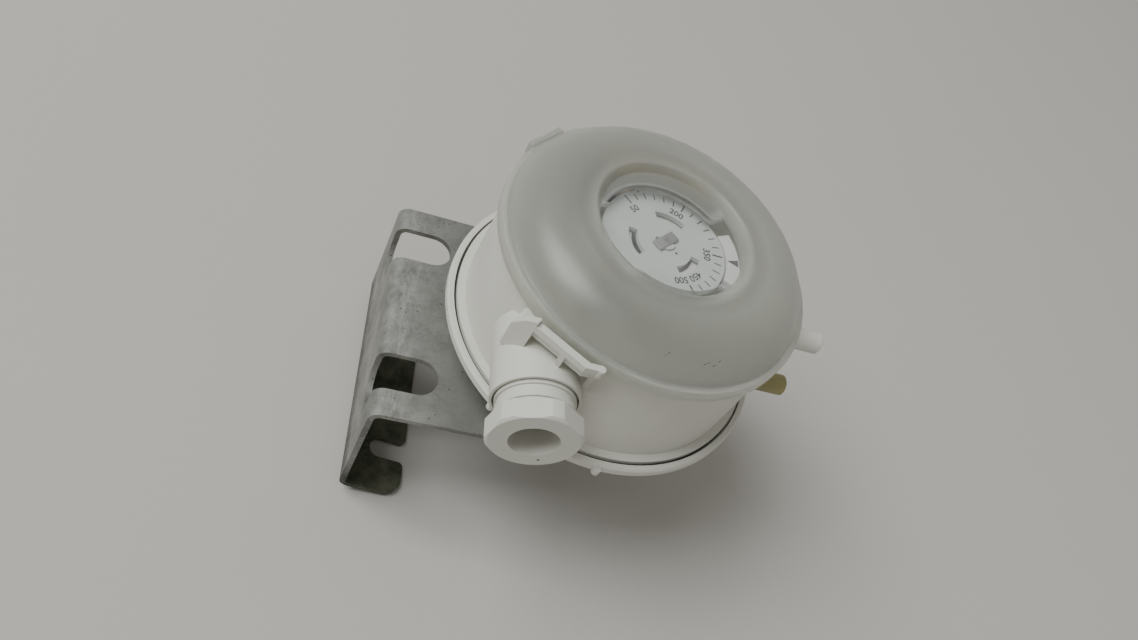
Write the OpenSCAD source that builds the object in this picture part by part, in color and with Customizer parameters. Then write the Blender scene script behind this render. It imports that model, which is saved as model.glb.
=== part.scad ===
// Differential pressure switch for air, with its folded mounting bracket.
// The origin is the middle of the bracket's foot, on the face that is fixed down. The foot is
// folded a little short of square. Z points up along the dial's axis, the cable gland points
// along -Y and both hose spigots point along +X.
// The modules are drawn with the dial's axis at x = y = 0 and the back of the housing at z = 0;
// on_foot() then sets them in place.

/* [Lower housing] */
// Outer diameter of the flange
flange_d = 85; // [82:0.5:92]
// Diameter of the base below the flange
base_d = 72; // [70:0.5:73]
// Height of the base, from its back to the underside of the flange
base_h = 10; // [9.5:0.25:13]
// Thickness of the flange under the membrane's rim
flange_t = 1.2; // [1:0.1:2]
// Width of the raised lip round the flange
lip_w = 1.6; // [1.2:0.1:2]
// Height of the lip above the membrane's rim
lip_h = 0.8; // [0.5:0.1:1.2]
// Wall thickness of the mouldings
wall = 2; // [1.6:0.1:2.4]
// Thickness of the base plate
floor_t = 2; // [1.6:0.1:2.4]

/* [Upper housing] */
// Diameter of the drum where it stands on its flange
drum_d = 76.4; // [74:0.2:77]
// Amount by which the drum's radius shrinks towards its top
drum_draft = 0.6; // [0.2:0.1:1]
// Height of the drum above its flange
drum_h = 29; // [28:0.1:30]
// Thickness of the drum's flange
rim_t = 1.3; // [1:0.1:2]
// Height of the low-pressure chamber above the membrane
chamber_h = 3.2; // [2.8:0.1:4]
// Thickness of the partition above the chamber
partition_t = 2; // [1.6:0.1:2.6]

/* [Cover] */
// Outer diameter of the skirt that fits round the top of the drum
skirt_d = 78.4; // [78.2:0.1:79]
// Height of the skirt
skirt_h = 3.8; // [3.2:0.1:4.4]
// Height of the skirt's top above the top of the drum
skirt_over = 1.6; // [1.5:0.1:2]
// Outer diameter of the dome where it meets the skirt
cover_d = 75.2; // [74:0.2:76]
// Radius of the rounded shoulder
shoulder_r = 12.5; // [11:0.25:14]
// Height of the flat top above the skirt
cover_h = 8.6; // [8:0.1:10]
// Wall thickness of the cover
cover_t = 1.6; // [1.2:0.1:2]
// Diameter of the edge of the recess in the top
recess_d = 38.2; // [37:0.2:40]
// Diameter of the clear window at the bottom of the recess
window_d = 36.4; // [35:0.2:36.8]
// Depth of the recess
recess_depth = 2.2; // [1.6:0.1:2.6]
// Direction of the catch on the skirt, in degrees from +X
tab_az = 137.5; // [130:0.5:150]
// Width of the catch
tab_w = 11.5; // [8:0.5:14]
// Distance by which the catch stands out from the skirt
tab_out = 1; // [0.6:0.1:1.6]

/* [Latch ledge] */
// Direction of the ledge above the cable entry, in degrees from +X
latch_az = -123.7; // [-128:0.1:-118]
// Length of the ledge's bar
latch_l = 16; // [14:0.5:18]
// Distance from the axis to the inner face of the bar
latch_r = 40.4; // [39.8:0.1:40.8]
// Height of the cover's rim above the bar
latch_below = 1; // [0.4:0.1:1.4]
// Thickness of the bar
latch_t = 1.8; // [1.4:0.1:2.4]
// Height of the bar
latch_h = 1.8; // [1.4:0.1:2.4]
// Thickness of the wall that is set back below the bar
latch_wall = 0.8; // [0.6:0.1:1.2]
// Height from the underside of the ledge to the top of the bar
latch_drop = 5.3; // [5:0.1:6]
// Thickness of the ribs below the bar
rib_t = 1.3; // [1:0.1:1.8]
// Length of the wing that joins the bar to the cable entry's boss
wing_l = 5; // [4:0.5:6]

/* [Cable entry] */
// Distance of the cable entry's axis from the dial axis
entry_x = 24.1; // [22:0.1:25]
// Height of the cable entry's axis
entry_z = 27; // [26:0.25:28]
// Distance from the dial axis to the end of the boss
boss_reach = 38.4; // [37:0.1:40]
// Outer diameter of the boss
boss_d = 20.2; // [19.4:0.1:20.6]
// Diameter of the thread in the boss
thread_d = 16; // [15:0.1:16.4]
// Depth of the thread in the boss
thread_depth = 13; // [12:0.25:14]
// Width across the flats of the pressure screw
nut_af = 19.8; // [18.6:0.1:20.4]
// Diameter to which the hexagon's corners are turned off
nut_corner_d = 21.2; // [20.8:0.1:22]
// Angle by which the screw is turned, from a flat on top
nut_turn = 22.4; // [0:0.1:59]
// Length of the hexagon
nut_h = 4.7; // [4:0.1:6]
// Length of the round neck between the boss and the hexagon
neck_h = 5.1; // [4.8:0.1:6]
// Length of the screw's thread inside the boss
shank_l = 6; // [5:0.1:7]
// Thickness of the washer between the screw and the seal
washer_t = 0.8; // [0.6:0.1:1]
// Diameter of the cable hole through the pressure screw
cable_hole_d = 11.3; // [10:0.1:12]
// Running clearance between the screw and the boss
thread_fit = 0.05; // [0.03:0.01:0.08]

/* [Hose spigots] */
// Outer diameter of both spigots
spigot_d = 6; // [5.6:0.1:6.4]
// Bore of both spigots
spigot_bore = 3.2; // [2.6:0.1:3.6]
// Distance from the dial axis to the tip of the upper spigot
upper_reach = 56.2; // [54:0.2:58]
// Height of the upper spigot's axis
upper_z = 25.8; // [25:0.1:27]
// Width of the collar at the upper spigot's root
root_w = 1; // [0.6:0.1:1.4]
// Distance from the dial axis to the tip of the lower spigot
lower_reach = 58.8; // [57:0.2:61]
// Height of the lower spigot's axis
lower_z = 4.6; // [4.5:0.1:5.2]

/* [Bracket] */
// Thickness of the sheet
sheet_t = 1.5; // [1.2:0.1:2]
// Length of the bracket along its folds
bracket_w = 65.8; // [62:0.2:70]
// Distance from the dial axis to the outside of the web
web_x = 54.8; // [52:0.2:57]
// Height of the web, outside to outside
web_h = 38.7; // [35:0.1:42]
// Width of the foot, from the outside of the web
foot_w = 17.1; // [16:0.1:20]
// Angle by which the foot is folded short of square
foot_tilt = 9.2; // [0:0.1:12]
// Distance from the dial axis to the far edge of the plate under the housing
plate_x = 16; // [13:0.5:20]
// Inside radius of the folds
fold_r = 1.6; // [1.2:0.1:2.4]
// Distance of the slots from the middle of the bracket
slot_y = 20.4; // [19:0.1:21.5]
// Width of the slots
slot_w = 10.2; // [9:0.1:11]
// Distance from the outside of the web to the slots' end in the plate
slot_in_plate = 15.2; // [14:0.1:16]
// Distance from the plate to the slots' end in the web
slot_in_web = 12.5; // [11:0.1:14]
// Distance of the notches from the middle of the bracket
notch_y = 20.2; // [19:0.1:21.5]
// Width of the notches in the foot
notch_w = 5.7; // [5:0.1:7]
// Distance from the outside of the web to the closed end of the notches
notch_in = 7.1; // [6.5:0.1:9]
// Radius of the corners at the mouth of the notches
mouth_r = 1.5; // [0.8:0.1:2]
// Radius of the rounded outer corners of the plate and foot
corner_r = 4.8; // [3:0.1:5]
// Distance of the bracket's screws from the middle of the bracket
bracket_screw_y = 20; // [17:0.5:22]

/* [Sensing element] */
// Thickness of the membrane's clamped rim
membrane_rim_t = 0.8; // [0.6:0.1:1]
// Thickness of the membrane
membrane_t = 0.5; // [0.4:0.05:0.6]
// Height of the raised fold round the stiffening disc
fold_h = 1.3; // [0.8:0.1:1.6]
// Diameter of the stiffening disc on the membrane
disc_d = 48; // [44:1:52]
// Thickness of the stiffening disc
disc_t = 1; // [0.8:0.1:1.2]
// Travel of the membrane between rest and its stop
travel = 0.8; // [0.5:0.05:0.9]
// Diameter of the plunger's stem
stem_d = 5; // [4:0.1:6]
// Running clearance of the stem, the spindle and the seat
shaft_fit = 0.05; // [0.03:0.01:0.08]
// Wire diameter of the range spring
wire_d = 1; // [0.7:0.05:1.1]
// Mean diameter of the range spring
coil_d = 8.4; // [8:0.1:9]
// Number of turns of the range spring
coil_turns = 6; // [5:1:8]
// Installed length of the range spring
spring_l = 13.6; // [12:0.2:15]

/* [Dial and bridge] */
// Diameter of the dial
dial_d = 31.7; // [30:0.1:32.4]
// Thickness of the dial's disc
dial_t = 1.2; // [1:0.1:1.6]
// Gap between the dial and the bridge under it
dial_gap = 0.5; // [0.4:0.05:0.8]
// Mean radius of the curved openings in the dial
arc_r = 8.2; // [7.6:0.1:9]
// Width of the curved openings
arc_w = 2.2; // [1.4:0.1:2.4]
// Diameter of the adjusting spindle
spindle_d = 5; // [4.4:0.1:6]
// Height of the spindle's collar under the bridge
spindle_collar_h = 1.2; // [0.8:0.1:1.6]
// Diameter of the bridge's round top plate
bridge_d = 26; // [25:0.5:27]
// Inner radius of the gap that surrounds the spindle's bearing
gap_in = 4.5; // [4.2:0.1:5]
// Outer radius of that gap
gap_out = 7.9; // [7:0.1:9]
// Angle covered by each spoke across the gap
spoke_angle = 16; // [10:1:24]
// Width of the arm that carries the index block
index_arm_w = 15.2; // [12:0.2:17]
// Distance from the dial axis to the outer edge of the index block
index_out = 19.8; // [19:0.1:20.4]
// Thickness of the bridge's plates
bridge_t = 2; // [1.6:0.1:2.4]
// Height of the bridge's top plate above the partition
bridge_h = 25.6; // [25.2:0.1:26]
// Distance between the outer faces of the bridge's legs
bridge_w = 28; // [26:0.5:30]
// Angle covered by the index block beside the dial
index_angle = 50; // [40:1:60]
// Clearance between the dial's edge and the index block
index_gap = 0.45; // [0.3:0.05:0.8]
// Thickness of the sliding spring seat
seat_t = 3.2; // [2.6:0.1:4]
// Width of the sliding seat's ears
ear_w = 3; // [2.4:0.1:4]
// Diameter of the bridge's screws
bridge_screw_d = 2.6; // [2:0.1:3]

/* [Microswitch] */
// Distance from the dial axis to the microswitch
switch_y = 18.4; // [18.2:0.1:19]
// Length of the microswitch
switch_l = 27.8; // [27:0.1:28.6]
// Depth of the microswitch
switch_w = 10.3; // [10:0.1:10.8]
// Height of the microswitch
switch_h = 15.9; // [15:0.1:16.4]
// Diameter of its button
button_d = 3; // [2.4:0.1:3.6]
// Height of the button below the case
button_h = 1.4; // [1.2:0.1:2]
// Width of the flat blades
blade_w = 6.3; // [4.8:0.1:6.3]
// Thickness of the flat blades
blade_t = 0.8; // [0.5:0.1:0.8]
// Length of the flat blades above the case
blade_l = 8; // [7:0.1:8.4]
// Depth of the wire clamps on the blades
clamp_d = 6; // [5:0.1:6.4]
// Distance between the blades
blade_pitch = 9.6; // [9.2:0.1:10]
// Diameter of the switch's two mounting screws
switch_screw_d = 3; // [2.4:0.1:3.2]
// Distance of the mounting screws from the switch's ends
switch_screw_in = 2.8; // [2.6:0.1:4]
// Height of the mounting screws above and below the switch's middle
switch_screw_rise = 5; // [3:0.1:5.2]
// Diameter of the wire clamps' screws
clamp_screw_d = 1.8; // [1.4:0.1:2]
// Diameter of the wire clamps' openings
wire_hole_d = 2.6; // [2:0.1:2.8]

/* [Hidden] */
$fn = 96;
e = 0.01;

// Clearance between mouldings that only rest beside each other
loose = 0.3;
// Small edge break on the mouldings
edge = 0.5;
// Length over which the foot laps its fold
lap = 0.15;

// Heights through the housing
z_flange = base_h;
z_membrane = z_flange + flange_t;
z_joint = z_membrane + membrane_rim_t;
z_lip = z_joint + lip_h;
z_step = z_joint + rim_t;
z_chamber = z_joint + chamber_h;
z_partition = z_chamber + partition_t;
z_drum = z_step + drum_h;
z_rim = z_drum + skirt_over;
z_skirt = z_rim - skirt_h;
z_top = z_rim + cover_h;
seal_t = 0.6;

// Radii of the housing
lip_r = flange_d / 2 - lip_w;
rim_r = lip_r - 0.7;
drum_r = drum_d / 2;
drum_top_r = drum_r - drum_draft;
root_x = drum_r + 0.8;
inner_r = drum_top_r - wall;
chamber_r = base_d / 2 - wall;
skirt_r = skirt_d / 2;
skirt_in = drum_top_r + loose;

// Plunger, spring and spindle
z_disc = z_joint + 0.9;
z_plunger = z_disc + disc_t;
z_arm = z_partition + 0.5;
arm_t = 1.5;
z_spring = z_arm + arm_t;
z_seat_low = z_spring + spring_l;
z_bridge = z_partition + bridge_h;
z_dial = z_bridge + bridge_t + dial_gap;
leg_x = bridge_w / 2 - bridge_t;
spindle_low = z_seat_low - 2.4;
foot_screw_x = bridge_w / 2 + 4.2;
foot_boss_h = 2;

// Microswitch
z_switch = z_spring + button_h;
switch_hole_x = switch_l / 2 - switch_screw_in;
switch_hole_z = z_switch + switch_h / 2;

// Cable entry
shank_r = thread_d / 2 - thread_fit;
neck_r = boss_d / 2 - 1.1;
nut_y = boss_reach + neck_h;

// Lower fold of the bracket, and the middle of the foot's underside
outer_r = fold_r + sheet_t;
fold_x = -web_x + outer_r;
fold_z = -web_h + outer_r;
foot_mid = foot_w / 2 - outer_r;
foot_drop = outer_r - e / 2;
foot_x = fold_x + foot_mid * cos(foot_tilt) - foot_drop * sin(foot_tilt);
foot_z = fold_z - foot_mid * sin(foot_tilt) - foot_drop * cos(foot_tilt);

function arc(r, a0, a1, n, c = [0, 0]) =
    [for (i = [0:n]) c + r * [cos(a0 + (a1 - a0) * i / n), sin(a0 + (a1 - a0) * i / n)]];

module ring(r_out, r_in, z0, z1) {
    translate([0, 0, z0])
    difference() {
        cylinder(h = z1 - z0, r = r_out);
        translate([0, 0, -1]) cylinder(h = z1 - z0 + 2, r = r_in);
    }
}

// Moves a piece from the dial's axis to its place above the bracket's foot
module on_foot() {
    translate([-foot_x, 0, -foot_z]) children();
}

// A round bar along +Y from y0 to y1
module bar_y(r, y0, y1, x = 0, z = 0) {
    translate([x, y0, z]) rotate([-90, 0, 0]) cylinder(h = y1 - y0, r = r);
}

// A round bar along +X from x0 to x1
module bar_x(r, x0, x1, z = 0) {
    translate([x0, 0, z]) rotate([0, 90, 0]) cylinder(h = x1 - x0, r = r);
}

// A part of a ring between two directions, less than half a turn
module ring_sector(r_out, r_in, z0, z1, a0, a1) {
    far = 3 * r_out;
    mid = (a0 + a1) / 2;
    intersection() {
        ring(r_out, r_in, z0, z1);
        translate([0, 0, z0 - 1]) linear_extrude(z1 - z0 + 2)
        polygon([[0, 0], for (a = [a0, mid, a1]) far * [cos(a), sin(a)]]);
    }
}

// Part of a fold between two directions, seen along Y
module fold_arc(a0, a1) {
    far = 2 * outer_r;
    mid = (a0 + a1) / 2;
    difference() {
        intersection() {
            circle(r = outer_r);
            polygon([[0, 0], for (a = [a0, mid, a1]) far * [cos(a), sin(a)]]);
        }
        circle(r = fold_r);
    }
}

// Profile of the folded sheet, seen along Y: plate, web and foot
module fold_profile() {
    translate([fold_x, -sheet_t]) square([plate_x - fold_x, sheet_t]);
    translate([-web_x, fold_z]) square([sheet_t, -outer_r - fold_z]);
    translate([fold_x, -outer_r]) fold_arc(90, 180);
    translate([fold_x, fold_z]) {
        fold_arc(180, 270 - foot_tilt);
        rotate(-foot_tilt) translate([-lap, -foot_drop]) square([foot_w - outer_r + lap, sheet_t]);
    }
}

// Takes the square corner off a flat part of the sheet at [x, y], growing towards [sx, sy]
module corner_cut(x, y, sx, sy, r, z) {
    translate([x - sx * r, y - sy * r, z - 1])
    difference() {
        translate([sx > 0 ? 0 : -r - 1, sy > 0 ? 0 : -r - 1, 0]) cube([r + 1, r + 1, sheet_t + 2]);
        translate([0, 0, -1]) cylinder(h = sheet_t + 4, r = r);
    }
}

// What is cut out of the foot, with the fold's centre as the origin and the foot level
module foot_cuts() {
    free_x = foot_w - outer_r;
    end_x = notch_in - outer_r + notch_w / 2;
    for (s = [-1, 1]) {
        translate([end_x, s * notch_y, -outer_r - 1]) cylinder(h = sheet_t + 2, d = notch_w);
        translate([end_x, s * notch_y - notch_w / 2, -outer_r - 1])
            cube([foot_w, notch_w, sheet_t + 2]);
        corner_cut(free_x, s * bracket_w / 2, 1, s, corner_r, -outer_r);
        for (m = [-1, 1])
            corner_cut(free_x, s * notch_y + m * notch_w / 2, 1, -m, mouth_r, -outer_r);
    }
}

module bracket() {
    half = bracket_w / 2;
    color("darkgray")
    difference() {
        rotate([90, 0, 0]) translate([0, 0, -half]) linear_extrude(bracket_w) fold_profile();
        for (s = [-1, 1]) {
            // Slot across the first fold: its end in the plate and its end in the web
            translate([-web_x + slot_in_plate - slot_w / 2, s * slot_y, -sheet_t - 1])
                cylinder(h = sheet_t + 2, d = slot_w);
            translate([-web_x - 1, s * slot_y - slot_w / 2, -slot_in_web + slot_w / 2])
                cube([slot_in_plate - slot_w / 2 + 1, slot_w, slot_in_web]);
            translate([-web_x - 1, s * slot_y, -slot_in_web + slot_w / 2])
                rotate([0, 90, 0]) cylinder(h = sheet_t + fold_r + 2, d = slot_w);
            corner_cut(plate_x, s * half, 1, s, corner_r, -sheet_t);
            translate([0, s * bracket_screw_y, -sheet_t - 1])
                cylinder(h = sheet_t + 2, r = bridge_screw_d / 2 + 0.4);
        }
        translate([fold_x, 0, fold_z]) rotate([0, foot_tilt, 0]) foot_cuts();
    }
}

// Pan-head screw with its head below z = 0 and its shank upwards
module pan_screw(d, l, head_d, head_h) {
    difference() {
        union() {
            cylinder(h = l, d = d);
            translate([0, 0, -head_h]) cylinder(h = head_h, d1 = head_d * 0.8, d2 = head_d);
        }
        for (a = [0, 90])
            rotate([0, 0, a])
            translate([-head_d * 0.3, -d * 0.12, -head_h - e]) cube([head_d * 0.6, d * 0.24, head_h * 0.6]);
    }
}

bracket_screw_l = 6.5;

module bracket_screws() {
    color("lightsteelblue")
    for (s = [-1, 1])
        translate([0, s * bracket_screw_y, -sheet_t])
        pan_screw(bridge_screw_d, bracket_screw_l, bridge_screw_d * 2.2, 1.8);
}

module lower_housing() {
    color("whitesmoke")
    difference() {
        union() {
            rotate_extrude()
            polygon([
                [0, 0], [base_d / 2 - 1, 0], [base_d / 2, 1], [base_d / 2, z_flange],
                [flange_d / 2 - edge, z_flange], [flange_d / 2, z_flange + edge],
                [flange_d / 2, z_lip - edge], [flange_d / 2 - edge, z_lip],
                [lip_r, z_lip], [lip_r, z_membrane], [chamber_r, z_membrane],
                [chamber_r, floor_t], [0, floor_t]
            ]);
            // Bosses for the bracket's screws
            for (s = [-1, 1])
                translate([0, s * bracket_screw_y, 0])
                cylinder(h = bracket_screw_l + 1.4, d = bridge_screw_d + 4);
            // Boss that carries the lower spigot
            intersection() {
                bar_x(lower_z - e, chamber_r - 2, base_d / 2 + 2, lower_z);
                translate([0, -base_d, 0]) cube([base_d, 2 * base_d, z_flange]);
            }
            // Two moulding gates on the rim
            for (a = [-94, -133])
                rotate([0, 0, a])
                translate([flange_d / 2 + 0.4, 0, z_flange + edge])
                cylinder(h = flange_t + membrane_rim_t - edge, r = 1);
        }
        for (s = [-1, 1])
            translate([0, s * bracket_screw_y, -1])
            cylinder(h = bracket_screw_l - sheet_t + 1, d = bridge_screw_d);
        bar_x(spigot_d / 2, chamber_r - 5, base_d, lower_z);
    }
}

module lower_spigot() {
    color("goldenrod", 0.8)
    rotate([0, 90, 0])
    rotate([0, 0, 180])
    translate([lower_z, 0, 0])
    difference() {
        union() {
            translate([0, 0, chamber_r - 3]) cylinder(h = lower_reach - chamber_r + 3 - edge, d = spigot_d);
            translate([0, 0, lower_reach - edge]) cylinder(h = edge, d1 = spigot_d, d2 = spigot_d - 2 * edge);
            translate([0, 0, base_d / 2 + 2]) cylinder(h = 1.4, d = spigot_d + 2);
        }
        translate([0, 0, chamber_r - 4]) cylinder(h = lower_reach, d = spigot_bore);
    }
}

module membrane() {
    // Raised fold between the stiffening disc and the clamped rim
    r0 = disc_d / 2 + 1;
    r1 = chamber_r - 1;
    low = z_disc - membrane_t;
    rim_top = z_membrane + membrane_t;
    fold = [for (i = [0:10]) let (u = i / 10)
        [r0 + (r1 - r0) * u, low - (low - z_membrane) * u + fold_h * sin(180 * u)]];
    color("dimgray")
    rotate_extrude()
    polygon(concat(
        [[0, z_disc], [0, low]],
        fold,
        [[lip_r - 0.4, z_membrane], [lip_r - 0.4, z_joint]],
        [[chamber_r - 0.3, z_joint], [chamber_r - 0.3, rim_top]],
        [for (i = [0:10]) fold[10 - i] + [0, membrane_t]]
    ));
}

module membrane_disc() {
    color("silver")
    translate([0, 0, z_disc])
    difference() {
        cylinder(h = disc_t, d = disc_d);
        translate([0, 0, -1]) cylinder(h = disc_t + 2, d = stem_d - 1.4);
    }
}

module plunger() {
    arm_l = switch_y + switch_w / 2 + button_d / 2 + 1;
    color("ivory")
    union() {
        translate([0, 0, z_disc]) cylinder(h = disc_t + e, d = stem_d - 1.4);
        translate([0, 0, z_plunger]) cylinder(h = z_spring - z_plunger, d = stem_d);
        translate([0, 0, z_arm]) cylinder(h = arm_t, d = coil_d + wire_d + 1.6);
        translate([-ear_w, 0, z_arm]) cube([2 * ear_w, arm_l, arm_t]);
        translate([0, 0, z_spring]) cylinder(h = 3, d = coil_d - wire_d - 1.2);
    }
}

// A plate across the ledge, at y0 to y1, with its outline in the plane of the axis
module latch_rib(y0, y1, points) {
    translate([0, y1, 0]) rotate([90, 0, 0]) linear_extrude(y1 - y0) polygon(points);
}

// Ledge beside the cover above the cable entry: bar, wall, shelf, ribs and wing
module latch_ledge() {
    root = drum_top_r - wall / 2;
    half = latch_l / 2;
    bend = half - 2.7;
    out = latch_r + latch_t;
    end_r = sqrt(pow(skirt_r + loose, 2) - half * half);
    z0 = z_rim - latch_drop;
    z_bar = z_rim - latch_below - latch_h;
    rib_low = entry_z + boss_d / 2 - 4;
    wing = -half - wing_l;
    // Plan of the bar or the wall, t thick, with its end turned in towards the cover
    function plan(t) = [
        [latch_r, -half], [latch_r + t, -half], [latch_r + t, bend],
        [end_r + t, half], [end_r, half], [latch_r, bend]
    ];
    rotate([0, 0, latch_az]) {
        translate([0, 0, z_bar]) linear_extrude(latch_h) polygon(plan(latch_t));
        translate([0, 0, z0]) linear_extrude(z_bar - z0 + e) polygon(plan(latch_wall));
        translate([0, 0, z0]) linear_extrude(1.1)
        polygon([[root, -half], [latch_r + e, -half], [latch_r + e, bend], [end_r + e, half], [root, half]]);
        // Middle rib, which stands on the cable entry's boss
        latch_rib(-rib_t / 2, rib_t / 2, [
            [root, z0 + e], [latch_r + e, z0 + e], [latch_r + e, z_bar + e], [out, z_bar + e],
            [out - 0.5, rib_low], [root, rib_low]
        ]);
        // End rib with the rounded knob beside the cover
        latch_rib(half - rib_t, half, [
            [root, z0 + e], [end_r + e, z0 + e], [end_r + e, z_bar + e], [end_r + latch_t, z_bar + e],
            [end_r + latch_t - 0.2, z_bar - 1], [drum_r - 0.3, z0 - 6], [root, z0 - 6]
        ]);
        translate([end_r + 1, half, z_bar - 0.8]) cylinder(h = latch_h + 0.8, r = 0.95);
        // Wing that runs down from the bar's other end into the boss
        translate([latch_r, 0, 0]) rotate([90, 0, 90]) linear_extrude(latch_t)
        polygon([
            [-half + e, z_rim], [-half - wing_l * 0.1, z_rim], [-half - wing_l * 0.5, z_rim - 1.6],
            [wing, z_rim - 5], [wing, rib_low - 2], [-half + e, rib_low]
        ]);
        translate([root, 0, 0]) rotate([90, 0, 90]) linear_extrude(latch_r - root + e)
        polygon([
            [-half + e, z0 + 1.1], [-half - wing_l * 0.85, z0 + 1.1],
            [wing, z_rim - 5], [wing, rib_low - 2], [-half + e, rib_low]
        ]);
    }
}

module upper_housing() {
    duct_x = inner_r - 4.5;
    duct_w = spigot_d + 2;
    color("white")
    difference() {
        union() {
            rotate_extrude()
            polygon([
                [0, z_chamber], [chamber_r, z_chamber], [chamber_r, z_joint], [rim_r, z_joint],
                [rim_r, z_step], [drum_r, z_step], [drum_top_r, z_drum], [inner_r, z_drum],
                [inner_r, z_partition], [0, z_partition]
            ]);
            latch_ledge();
            bar_y(boss_d / 2, -boss_reach, -boss_reach + thread_depth + 5.5, -entry_x, entry_z);
            // Duct that leads the upper spigot down to the chamber
            translate([duct_x - 2, -duct_w / 2, z_partition - e])
                cube([inner_r - duct_x + 3, duct_w, upper_z + spigot_d / 2 + 1 - z_partition]);
            bar_x(spigot_d / 2 + root_w, inner_r, root_x, upper_z);
            bar_x(spigot_d / 2, inner_r, upper_reach - edge, upper_z);
            translate([upper_reach - edge, 0, upper_z]) rotate([0, 90, 0])
                cylinder(h = edge, d1 = spigot_d, d2 = spigot_d - 2 * edge);
            // Bosses for the bridge's screws
            for (s = [-1, 1])
                translate([s * foot_screw_x, 0, z_partition - e])
                cylinder(h = foot_boss_h, d = bridge_screw_d + 3);
        }
        // Passage of the plunger
        translate([0, 0, z_chamber - 1]) cylinder(h = partition_t + 2, d = stem_d + 2 * shaft_fit);
        // Cable entry: recess, thread and inner hole
        bar_y(boss_d / 2 - 0.6, -boss_reach - 1, -boss_reach + 1.6, -entry_x, entry_z);
        bar_y(thread_d / 2, -boss_reach, -boss_reach + thread_depth, -entry_x, entry_z);
        bar_y(thread_d / 2 - 2.4, -boss_reach, -boss_reach + thread_depth + 6, -entry_x, entry_z);
        // Bore of the upper spigot and its way down
        bar_x(spigot_bore / 2, duct_x, upper_reach + 1, upper_z);
        translate([duct_x + spigot_bore / 2, 0, z_chamber - 1])
            cylinder(h = upper_z - z_chamber + 1, d = spigot_bore);
        for (s = [-1, 1])
            translate([s * foot_screw_x, 0, z_partition - 1])
            cylinder(h = 4, d = bridge_screw_d);
    }
}

// Helical spring wound round Z from z = 0 to its length
module coil(d, wire, l, turns) {
    sides = 8;
    steps = 20;
    n = turns * steps;
    rise = (l - wire) / n;
    pts = [for (i = [0:n], k = [0:sides - 1])
        let (a = 360 * i / steps, b = 360 * k / sides, r = d / 2 + wire / 2 * cos(b))
        [r * cos(a), r * sin(a), wire / 2 + rise * i + wire / 2 * sin(b)]];
    side_faces = [for (i = [0:n - 1], k = [0:sides - 1])
        let (k2 = (k + 1) % sides)
        [i * sides + k, i * sides + k2, (i + 1) * sides + k2, (i + 1) * sides + k]];
    first = [[for (k = [sides - 1:-1:0]) k]];
    last = [[for (k = [0:sides - 1]) n * sides + k]];
    polyhedron(points = pts, faces = concat(side_faces, first, last), convexity = 10);
}

module range_spring() {
    color("silver")
    translate([0, 0, z_spring]) coil(coil_d, wire_d, spring_l, coil_turns);
}

module spring_seat() {
    color("gold")
    translate([0, 0, z_seat_low])
    difference() {
        union() {
            cylinder(h = seat_t, d = coil_d + wire_d + 1);
            translate([-bridge_w / 2, -ear_w / 2, 0]) cube([bridge_w, ear_w, seat_t]);
        }
        translate([0, 0, -1]) cylinder(h = seat_t + 2, r = spindle_d / 2 + shaft_fit);
    }
}

module bridge() {
    leg_w = 11;
    wall_y = switch_y - bridge_t;
    wall_top = z_switch + switch_h;
    index_r = dial_d / 2 + index_gap;
    pad_z = z_partition + foot_boss_h;
    color("snow")
    difference() {
        union() {
            translate([0, 0, z_bridge]) cylinder(h = bridge_t, d = bridge_d);
            translate([-bridge_w / 2, -leg_w / 2, z_bridge]) cube([bridge_w, leg_w, bridge_t]);
            // Arm with the index block that stands beside the dial
            intersection() {
                translate([0, 0, z_bridge]) cylinder(h = bridge_t, r = index_out);
                translate([0, -index_arm_w / 2, z_bridge - 1]) cube([2 * index_out, index_arm_w, bridge_t + 2]);
            }
            ring_sector(index_out, index_r, z_bridge, z_dial + dial_t,
                -index_angle / 2, index_angle / 2);
            for (s = [-1, 1]) {
                translate([s > 0 ? leg_x : -bridge_w / 2, -leg_w / 2, pad_z])
                    cube([bridge_t, leg_w, z_bridge - pad_z + e]);
                translate([s > 0 ? leg_x : -bridge_w / 2, leg_w / 2 - e, pad_z])
                    cube([bridge_t, switch_y - leg_w / 2 + e, wall_top - pad_z]);
                // Foot with the screw
                translate([s > 0 ? leg_x : -foot_screw_x - 3, -leg_w / 2, pad_z])
                    cube([foot_screw_x + 3 - leg_x, leg_w, bridge_t]);
            }
            // Wall that carries the microswitch
            translate([-bridge_w / 2, wall_y, z_switch]) cube([bridge_w, bridge_t, wall_top - z_switch]);
        }
        translate([0, 0, z_bridge - 1]) cylinder(h = bridge_t + 2, r = spindle_d / 2 + shaft_fit);
        // Guides for the sliding seat's ears
        for (s = [-1, 1])
            translate([s > 0 ? leg_x - 1 : -bridge_w / 2 - 1, -ear_w / 2 - loose, z_seat_low - 4])
            cube([bridge_t + 2, ear_w + 2 * loose, seat_t + 8]);
        for (s = [-1, 1])
            translate([s * foot_screw_x, 0, pad_z - 1])
            cylinder(h = bridge_t + 2, d = bridge_screw_d + 0.4);
        // Gap round the spindle's bearing, crossed by three spokes
        for (a = [[20, 135], [135, 240], [240, 380]])
            ring_sector(gap_out, gap_in, z_bridge - 1, z_bridge + bridge_t + 1,
                a[0] + spoke_angle / 2, a[1] - spoke_angle / 2);
        for (s = [-1, 1])
            bar_y(switch_screw_d / 2, wall_y - 1, wall_y + bridge_t + 1, s * switch_hole_x,
                switch_hole_z + s * switch_screw_rise);
    }
}

module bridge_screws() {
    color("lightsteelblue")
    for (s = [-1, 1])
        translate([s * foot_screw_x, 0, z_partition + foot_boss_h + bridge_t])
        rotate([180, 0, 0])
        pan_screw(bridge_screw_d, bridge_t + 2.4, bridge_screw_d * 1.9, 1.5);
}

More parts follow.
